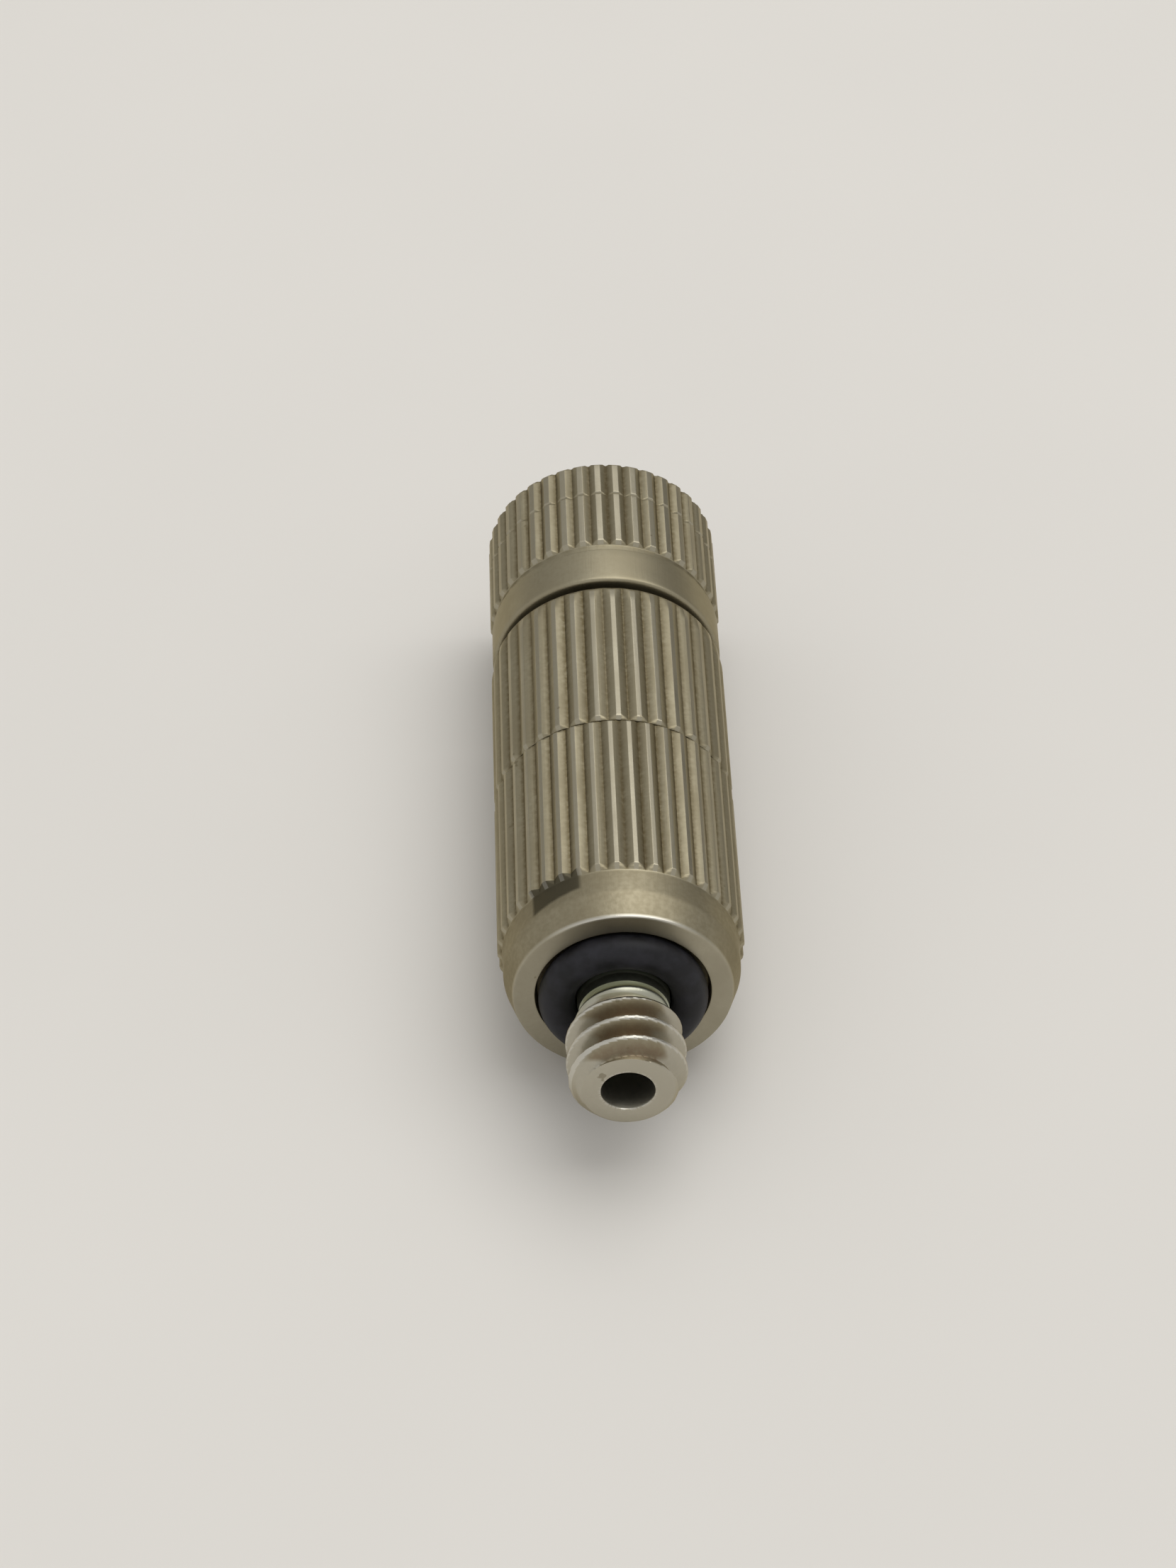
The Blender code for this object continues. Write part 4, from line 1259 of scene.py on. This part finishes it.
@dataclass
class NozzleCap(Assembly):
    """The knurled cap with its collar, its size groove, its inner thread and its dished face."""

    radius: float = 5.0
    start: float = 19.5
    end: float = 27.17
    knurl: Knurl = Knurl(40, -2.2, crest=0.32, seed=37)
    collar: Sizes = (4.93, 21.45)
    knurl_start: float = 21.87
    size_groove: Sizes = (25.16, 0.08, 0.12)
    dish: Sizes = (2.0, 0.35)
    nose_bore: Sizes = (26.08, 1.32)
    holder_bore: Sizes = (24.28, 2.51)
    flange_bore: Sizes = (22.82, 3.14)
    thread: SectionThread = SectionThread()
    thread_crest: float = 3.48
    thread_run: Sizes = (20.0, 22.8)
    thread_mark: float = 20.2
    mouth: Profile = Profile(((20.0, 3.75, 0, 1), (19.58, 3.75, 0, 1), (19.5, 3.83, 0, 1)))
    columns: int = 110

    def build(self) -> None:
        """Turns the cap and puts it into the scene."""
        angles = self.knurl.angles()
        coarse = angles[0] + round_angles(self.columns)
        groove = self.thread.band(
            Half.SOCKET, self.thread_crest, self.thread_run, self.thread_mark, coarse
        )
        sweep = Sweep("turned_nozzle_cap").add(self._skin(angles))
        sweep.add(Band.turned(self._front(), coarse)).add(groove.reversed())
        sweep.add(Band.turned(self.mouth, coarse))
        self.piece(sweep.mesh(), Body.CAP, Slot.NICKEL, "nozzle_cap")

    def _skin(self, angles: np.ndarray) -> Band:
        """The outside: collar, groove and knurl, from the mouth to the face.

        Args:
            angles: The knurl's columns.

        Returns:
            The band.
        """
        radius, start, end, knurl = self.radius, self.start, self.end, self.knurl_start
        collar, collar_end = self.collar
        place, half, depth = self.size_groove
        corners = (
            (start, 4.3, 0, 1), (start, collar - 0.02, 0.26, 2), (start + 0.32, collar, 0, 4),
            (collar_end, collar, 0.03, 1), (collar_end + 0.08, radius - 0.19, 0.02, 3),
            (knurl, radius - 0.19, 0.02, 8), (knurl + 0.15, radius, 0.05, 2),
            (knurl + 0.3, radius, 0, 6), (place - 0.2, radius, 0, 1),
            (place - half, radius, 0.02, 3), (place, radius - depth, 0.015, 3),
            (place + half, radius, 0.02, 1), (place + 0.2, radius, 0, 4),
            (end - 0.12, radius, 0.04, 5), (end, radius - 0.1, 0.03, 1), (end, 4.3, 0, 1),
        )
        band = Band.turned(Profile(corners), angles)
        band.cut_knurl(self.knurl, radius, knurl + 0.02, end)
        return band

    def _front(self) -> Profile:
        """The face, its dish and the stepped bores, down to the inner thread.

        Returns:
            The run.
        """
        dish_radius, dish_depth = self.dish
        nose_end, nose = self.nose_bore
        holder_end, holder = self.holder_bore
        flange_end, flange = self.flange_bore
        corners = (
            (self.end, 4.2, 0, 1), (self.end, dish_radius, 0.05, 3),
            (self.end - dish_depth, nose, 0.04, 1), (nose_end, nose, 0, 1),
            (nose_end, holder, 0.04, 2), (holder_end, holder, 0, 1),
            (holder_end, flange, 0.04, 2), (flange_end, flange, 0, 1),
        )
        return Profile(corners)


@dataclass
class Strainer(Assembly):
    """The gasket, cage, woven screen and end cap that catch grit in the inlet body."""

    gasket: Sizes = (6.04, 6.42, 2.34)
    cage_radius: float = 2.1
    cage_bore: float = 1.5
    flange: Sizes = (6.46, 6.96, 3.47)
    floor: Sizes = (2.89, 3.29)
    screen: Sizes = (6.42, 2.15, 2.29)
    end_cap: Sizes = (2.2, 2.85, 2.4)
    stub: Sizes = (2.525, 1.2)
    dimple: Sizes = (0.35, 0.08)
    windows: int = 4
    window: Sizes = (5.8, 0.6, 0.8)

    def build(self) -> None:
        """Cuts the gasket, moulds the cage and its cap, and rolls the screen."""
        start, end, inner = self.gasket
        outer = self.flange[2]
        self.turn(
            "cut_strainer_gasket", Body.INLET, Slot.RUBBER, "filter_gasket",
            (end, inner, 0.03, 2), (start, inner, 0.03, 3),
            (start, outer, 0.05, 2), (end, outer, 0.05, 3),
        )
        self._cage()
        end, inner, outer = self.screen
        start = self.floor[0]
        self.turn(
            "rolled_woven_screen", Body.INLET, Slot.STAINLESS, "filter_screen",
            (end, inner, 0, 12), (start, inner, 0, 1),
            (start, outer, 0, 12), (end, outer, 0, 1),
            columns=128, finish=self.finishes.screen,
        )
        self._end_cap()

    def _cage(self) -> None:
        """Moulds the cage and opens its windows."""
        start, end, outer = self.flange
        foot, floor = self.floor
        stub_end, stub = self.stub
        cage = self.turn(
            "moulded_strainer_cage", Body.INLET, Slot.PLASTIC, "filter_cage",
            (floor, 0, 0, 1), (floor, self.cage_bore, 0.12, 8), (end, self.cage_bore, 0.06, 1),
            (end, outer, 0.05, 1), (start, outer, 0.05, 1), (start, self.cage_radius, 0.06, 8),
            (foot, self.cage_radius, 0.05, 1), (foot, stub, 0.03, 2),
            (stub_end, stub, 0.05, 1), (stub_end, 0, 0, 1),
        )
        across, margin, width = self.window
        size = (across, start - floor - margin, self.cage_radius * width)
        middle = (0, (start + floor) / 2, 0)
        turns = [TURN * i / self.windows for i in range(self.windows // 2)]
        cut_away(cage, [box_mesh(size, middle, angle) for angle in turns])

    def _end_cap(self) -> None:
        """Moulds the cap on the cage's closed end."""
        start, end, outer = self.end_cap
        stub_end, stub = self.stub
        floor, blind = stub_end - 0.04, stub + 0.05
        dimple, depth = self.dimple
        self.turn(
            "moulded_strainer_cap", Body.INLET, Slot.PLASTIC, "filter_end_cap",
            (floor, 0, 0, 1), (floor, blind, 0.04, 1), (end, blind, 0.04, 3),
            (end, outer, 0.08, 3), (start, outer, 0.15, 4),
            (start, dimple, 0.05, 1), (start + depth, 0, 0, 1),
        )


@dataclass
class AntiDripValve(Assembly):
    """The seat, ball, carrier, spring and retainer that shut the nozzle off when the water stops."""

    bore: float = 2.3
    seat: Sizes = (9.04, 10.59, 0.95)
    pocket: Sizes = (9.98, 1.79)
    ball: Sizes = (11.745, 1.5)
    ball_steps: int = 48
    carrier: Sizes = (12.045, 14.045, 16.645)
    carrier_radii: Sizes = (2.15, 1.1)
    flutes: int = 4
    flute_radius: float = 0.5
    spring: Sizes = (14.085, 17.535, 1.5, 0.2)
    spring_turns: int = 5
    spring_steps: tuple[int, int] = (40, 14)
    spring_travel: float = 0.6
    retainer: Sizes = (17.575, 18.425, 0.9, 2.25)
    ports: int = 6
    port_radius: float = 0.3

    def build(self) -> None:
        """Makes the valve's pieces."""
        self._seat()
        self._ball()
        self._carrier()
        self._spring()
        self._retainer()

    def _seat(self) -> None:
        """Turns the seat, with the pocket for its ring."""
        start, end, hole = self.seat
        depth, pocket = self.pocket
        outer = self.bore - 0.05
        self.turn(
            "turned_valve_seat", Body.MIDDLE, Slot.BRASS, "valve_seat",
            (end, pocket, 0.03, 2), (depth, pocket, 0.02, 2), (depth, hole, 0.03, 3),
            (start, hole, 0.06, 3), (start, outer, 0.08, 4), (end, outer, 0.08, 1),
        )

    def _ball(self) -> None:
        """Grinds the ball."""
        place, radius = self.ball
        turns = np.linspace(0, TURN / 2, self.ball_steps + 1)
        arc = [(place - radius * math.cos(t), max(0.0, radius * math.sin(t)), 0, 1) for t in turns]
        arc[0] = (arc[0][0], 0.0, 0, 1)
        arc[-1] = (arc[-1][0], 0.0, 0, 1)
        self.turn("ground_valve_ball", Body.VALVE, Slot.STAINLESS, "valve_ball", *arc)

    def _carrier(self) -> None:
        """Moulds the carrier round the ball and cuts its flutes."""
        start, end, tail_end = self.carrier
        rim, tail = self.carrier_radii
        place, radius = self.ball
        pocket = radius + 0.05
        turns = np.linspace(math.asin((start - place) / pocket), TURN / 4, 14)[:-1]
        carrier = self.turn(
            "moulded_ball_carrier", Body.VALVE, Slot.PLASTIC, "ball_carrier",
            (tail_end, 0, 0, 1), (tail_end, tail, 0.15, 6), (end, tail, 0.04, 2),
            (end, rim, 0.08, 4), (start, rim, 0.06, 1),
            *((place + pocket * math.sin(t), pocket * math.cos(t), 0, 1) for t in turns),
            (place + pocket, 0, 0, 1),
        )
        places = [TURN / self.flutes * (i + 0.5) for i in range(self.flutes)]
        rods = [rod_mesh(self.flute_radius, start - 1, end + 1, rim, angle) for angle in places]
        cut_away(carrier, rods)

    def _spring(self) -> None:
        """Winds the spring, which the carrier presses as the valve opens."""
        start, end, radius, wire = self.spring
        steps, around = self.spring_steps
        count = self.spring_turns * steps + 1
        angle = np.arange(count) / steps * TURN
        out = np.stack([np.sin(angle), np.zeros(count), np.cos(angle)], 1)
        axis = np.array((0, 1, 0))
        centres = out * radius + np.outer(np.linspace(start + wire, end - wire, count), axis)
        phases = np.arange(around) / around * TURN
        points = [
            centre + wire * (math.cos(phase) * away + math.sin(phase) * axis)
            for centre, away in zip(centres, out)
            for phase in phases
        ]
        rings = np.arange(count * around).reshape(count, around).tolist()
        faces = [
            [first[k], first[(k + 1) % around], second[(k + 1) % around], second[k]]
            for first, second in zip(rings, rings[1:])
            for k in range(around)
        ]
        mesh = bpy.data.meshes.new("wound_valve_spring")
        mesh.from_pydata((np.array(points) * MM).tolist(), [], [*faces, rings[0][::-1], rings[-1]])
        wound = tidy_mesh(mesh)
        obj = self.piece(wound, Body.MIDDLE, Slot.STAINLESS, "valve_spring", self.finishes.wire)
        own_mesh(obj)

    def _retainer(self) -> None:
        """Turns the retainer and drills its ports."""
        start, end, hole, outer = self.retainer
        plate = self.turn(
            "turned_spring_retainer", Body.MIDDLE, Slot.BRASS, "spring_retainer",
            (end, hole, 0.05, 2), (start, hole, 0.05, 3),
            (start, outer, 0.08, 2), (end, outer, 0.08, 3),
        )
        circle = (hole + outer) / 2
        places = [TURN / self.ports * (i + 0.25) for i in range(self.ports)]
        rods = [rod_mesh(self.port_radius, start - 1, end + 1, circle, angle) for angle in places]
        cut_away(plate, rods)


@dataclass
class SprayOrifice(Assembly):
    """The holder, drilled plate, swirl pin and clip behind the cap's face."""

    holder: Sizes = (23.84, 24.24, 26.04, 26.84)
    holder_radii: Sizes = (3.04, 2.46, 1.27)
    chamber: Sizes = (25.14, 1.55)
    plate: Sizes = (26.13, 26.50, 1.05, 0.12)
    lip: Sizes = (26.54, 0.4)
    pin: Sizes = (23.90, 24.65, 25.10, 26.09)
    pin_radii: Sizes = (0.55, 1.45, 1.025)
    slots: int = 3
    slot_width: float = 0.3
    clip: Sizes = (24.10, 24.35, 0.8, 1.5)

    def build(self) -> None:
        """Makes the pieces round the orifice."""
        self._holder()
        self._plate()
        self._pin()
        start, end, inner, outer = self.clip
        self.turn(
            "stamped_swirl_clip", Body.CAP, Slot.STAINLESS, "swirl_clip",
            (end, inner, 0.03, 1), (start, inner, 0.03, 2),
            (start, outer, 0.05, 1), (end, outer, 0.05, 2),
        )

    def _holder(self) -> None:
        """Turns the holder, with its lip over the plate."""
        start, body_start, nose_start, end = self.holder
        flange, body, nose = self.holder_radii
        depth, chamber = self.chamber
        lip, hole = self.lip
        seat = self.plate[2] + 0.05
        self.turn(
            "turned_orifice_holder", Body.CAP, Slot.STAINLESS, "orifice_holder",
            (end, nose, 0.06, 3), (nose_start, nose, 0.02, 2), (nose_start, body, 0.06, 4),
            (body_start, body, 0.03, 2), (body_start, flange, 0.05, 1), (start, flange, 0.05, 3),
            (start, chamber, 0.04, 3), (depth, chamber, 0.02, 2), (depth, seat, 0.03, 4),
            (lip, seat, 0.02, 2), (lip, hole, 0.02, 4), (end, hole * 2, 0.03, 2),
            columns=128,
        )

    def _plate(self) -> None:
        """Drills the orifice plate, whose hole opens out to the front."""
        start, end, outer, hole = self.plate
        self.turn(
            "drilled_orifice_plate", Body.CAP, Slot.STAINLESS, "orifice_plate",
            (end, hole + 0.03, 0.01, 2), (end - 0.05, hole, 0.01, 3), (start, hole, 0.01, 3),
            (start, outer, 0.03, 2), (end, outer, 0.03, 5),
        )

    def _pin(self) -> None:
        """Turns the swirl pin and mills its slots."""
        tail_end, start, end, head_end = self.pin
        tail, collar, head = self.pin_radii
        pin = self.turn(
            "slotted_swirl_pin", Body.SWIRL, Slot.BRASS, "swirl_pin",
            (head_end, 0, 0, 1), (head_end, head, 0.03, 4), (end, head, 0.02, 2),
            (end, collar, 0.05, 2), (start, collar, 0.05, 2), (start, tail, 0.03, 4),
            (tail_end, tail, 0.08, 1), (tail_end, 0, 0, 1),
        )
        size = (2 * head, self.slot_width, self.slot_width)
        middle = (head, head_end, 0.35 * head)
        cut_away(pin, [box_mesh(size, middle, TURN * i / self.slots) for i in range(self.slots)])


# ---------------------------------------------------------------- the studio


def towards(azimuth: float, elevation: float) -> Vector:
    """A direction in the room.

    Args:
        azimuth: Its angle from +Y towards +X, in degrees.
        elevation: Its angle above the table, in degrees.

    Returns:
        The unit vector.
    """
    turn, lift = math.radians(azimuth), math.radians(elevation)
    flat = math.cos(lift)
    return Vector((math.sin(turn) * flat, math.cos(turn) * flat, math.sin(lift)))


@dataclass(frozen=True)
class SoftBox:
    """A rectangular area light, placed by its direction from the nozzle."""

    name: str
    azimuth: float
    elevation: float
    distance: float
    size: Sizes
    strength: float
    colour: Colour

    def place(self, centre: Vector) -> None:
        """Hangs the light and turns it towards the centre.

        Args:
            centre: What it lights.
        """
        light = bpy.data.lights.new(self.name, "AREA")
        light.shape = "RECTANGLE"
        light.size, light.size_y = self.size
        light.energy = self.strength
        light.color = self.colour
        obj = bpy.data.objects.new(self.name, light)
        away = towards(self.azimuth, self.elevation)
        obj.location = centre + away * self.distance
        obj.rotation_euler = (-away).to_track_quat("-Z", "Y").to_euler()
        bpy.context.scene.collection.objects.link(obj)


@dataclass(frozen=True)
class RoomPatch:
    """A round part of the room that is brighter or darker than the rest, with angles in degrees."""

    azimuth: float
    elevation: float
    radius: float
    softness: float
    gain: float


@dataclass
class Studio:
    """A plain pale table in an evenly lit room, one soft light and the camera."""

    floor_height: float = -5.0
    floor_size: float = 3.0
    floor_colour: Colour = (0.70, 0.68, 0.645)
    floor_clouding: float = 0.985
    centre: Sizes = (0.0, 0.012, 0.0)
    camera_place: Sizes = (-0.00483, -0.11112, 0.11936)
    camera_target: Sizes = (-0.001036, 0.012084, 0.0)
    lens: float = 93.56
    sensor_height: float = 36.0
    clip: Sizes = (0.01, 10.0)
    room_light: Sizes = (0.48, 0.66)
    room_colour: Colour = (1.0, 0.99, 0.97)
    patches: tuple[RoomPatch, ...] = (
        RoomPatch(4, 45, 8, 8, 0.9),
        RoomPatch(-42, 14, 9, 8, -0.12),
        RoomPatch(46, 8, 14, 18, -0.28),
        RoomPatch(180, 10, 20, 40, 0.22),
        RoomPatch(-95, 12, 20, 30, 0.16),
        RoomPatch(105, 5, 20, 25, 0.10),
    )
    softbox: SoftBox = SoftBox(
        "overhead_softbox", 55, 70, 1.5, (1.4, 1.4), 10.8, (1.0, 0.99, 0.975)
    )

    def build(self) -> None:
        """Sets the table, the light, the room and the camera."""
        self._floor()
        self._room()
        self.softbox.place(Vector(self.centre))
        self._camera()

    def _floor(self) -> None:
        """Lays the pale table top."""
        half = self.floor_size / 2
        mesh = bpy.data.meshes.new("pale_table_top")
        corners = [(-half, -half, 0), (half, -half, 0), (half, half, 0), (-half, half, 0)]
        mesh.from_pydata(corners, [], [(0, 1, 2, 3)])
        floor = bpy.data.objects.new("pale_table_top", mesh)
        floor.location = (0, 0, self.floor_height * MM)
        bpy.context.scene.collection.objects.link(floor)
        desk = Finish("matt_table_top")
        cloud = desk.ranged(desk.noise(0.03, detail=3), (0.4, 0.6), (0, 1))
        tone = tuple(channel * self.floor_clouding for channel in self.floor_colour)
        desk.feed("Base Color", desk.blend(cloud, self.floor_colour, tone))
        desk.feed("Roughness", 0.85)
        mesh.materials.append(desk.material)

    def _room(self) -> None:
        """Fills the room with even light, a little brighter overhead, with its patches."""
        world = bpy.data.worlds.new("soft_room")
        world.use_nodes = True
        bpy.context.scene.world = world
        desk = NodeDesk(world.node_tree)
        place = desk.add("ShaderNodeTexCoord").outputs["Generated"]
        split = desk.add("ShaderNodeSeparateXYZ")
        desk.link(place, split.inputs["Vector"])
        light = desk.ranged(split.outputs["Z"], (0, 1), self.room_light)
        for patch in self.patches:
            facing = desk.add("ShaderNodeVectorMath", "DOT_PRODUCT")
            desk.link(place, facing.inputs[0])
            facing.inputs[1].default_value = towards(patch.azimuth, patch.elevation)
            rim = math.cos(math.radians(patch.radius + patch.softness))
            core = math.cos(math.radians(patch.radius))
            gain = desk.ranged(facing.outputs["Value"], (rim, core), (0, patch.gain), smooth=True)
            light = desk.combine("ADD", light, gain, clamp=False)
        background = desk.tree.nodes["Background"]
        background.inputs["Color"].default_value = (*self.room_colour, 1.0)
        desk.link(light, background.inputs["Strength"])

    def _camera(self) -> None:
        """Sets up the camera."""
        data = bpy.data.cameras.new("camera")
        data.lens = self.lens
        data.sensor_fit = "VERTICAL"
        data.sensor_height = self.sensor_height
        data.clip_start, data.clip_end = self.clip
        camera = bpy.data.objects.new("camera", data)
        camera.location = self.camera_place
        aim = Vector(self.camera_target) - Vector(self.camera_place)
        camera.rotation_euler = aim.to_track_quat("-Z", "Y").to_euler()
        bpy.context.scene.collection.objects.link(camera)
        bpy.context.scene.camera = camera


def main() -> None:
    """Builds every piece round the fixed frame and lights it."""
    logging.basicConfig(level=logging.INFO, format="%(name)s: %(message)s")
    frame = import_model()
    bpy.context.scene.view_settings.view_transform = "Standard"
    finishes = Finishes()
    InletBody(finishes).build()
    ElastomerRing(finishes).build("moulded_inlet_o_ring", Body.INLET, "inlet_o_ring")
    Strainer(finishes).build()
    joint_ring = ElastomerRing(finishes, radius=3.83, section=0.38, position=10.42)
    joint_ring.build("moulded_joint_o_ring", Body.JOINT_SEAL, "body_seal_ring")
    MiddleBody(finishes).build()
    seat_ring = ElastomerRing(finishes, radius=1.37, section=0.38, position=10.40, steps=96)
    seat_ring.build("moulded_seat_o_ring", Body.MIDDLE, "seat_o_ring")
    AntiDripValve(finishes).build()
    cap_ring = ElastomerRing(finishes, radius=2.66, section=0.38, position=23.42)
    cap_ring.build("moulded_cap_o_ring", Body.CAP_SEAL, "cap_seal_ring")
    NozzleCap(finishes).build()
    SprayOrifice(finishes).build()
    Studio().build()
    log.info("%d solids of the frame are dressed", len(frame["nodes"]))


if __name__ == "__main__":
    main()
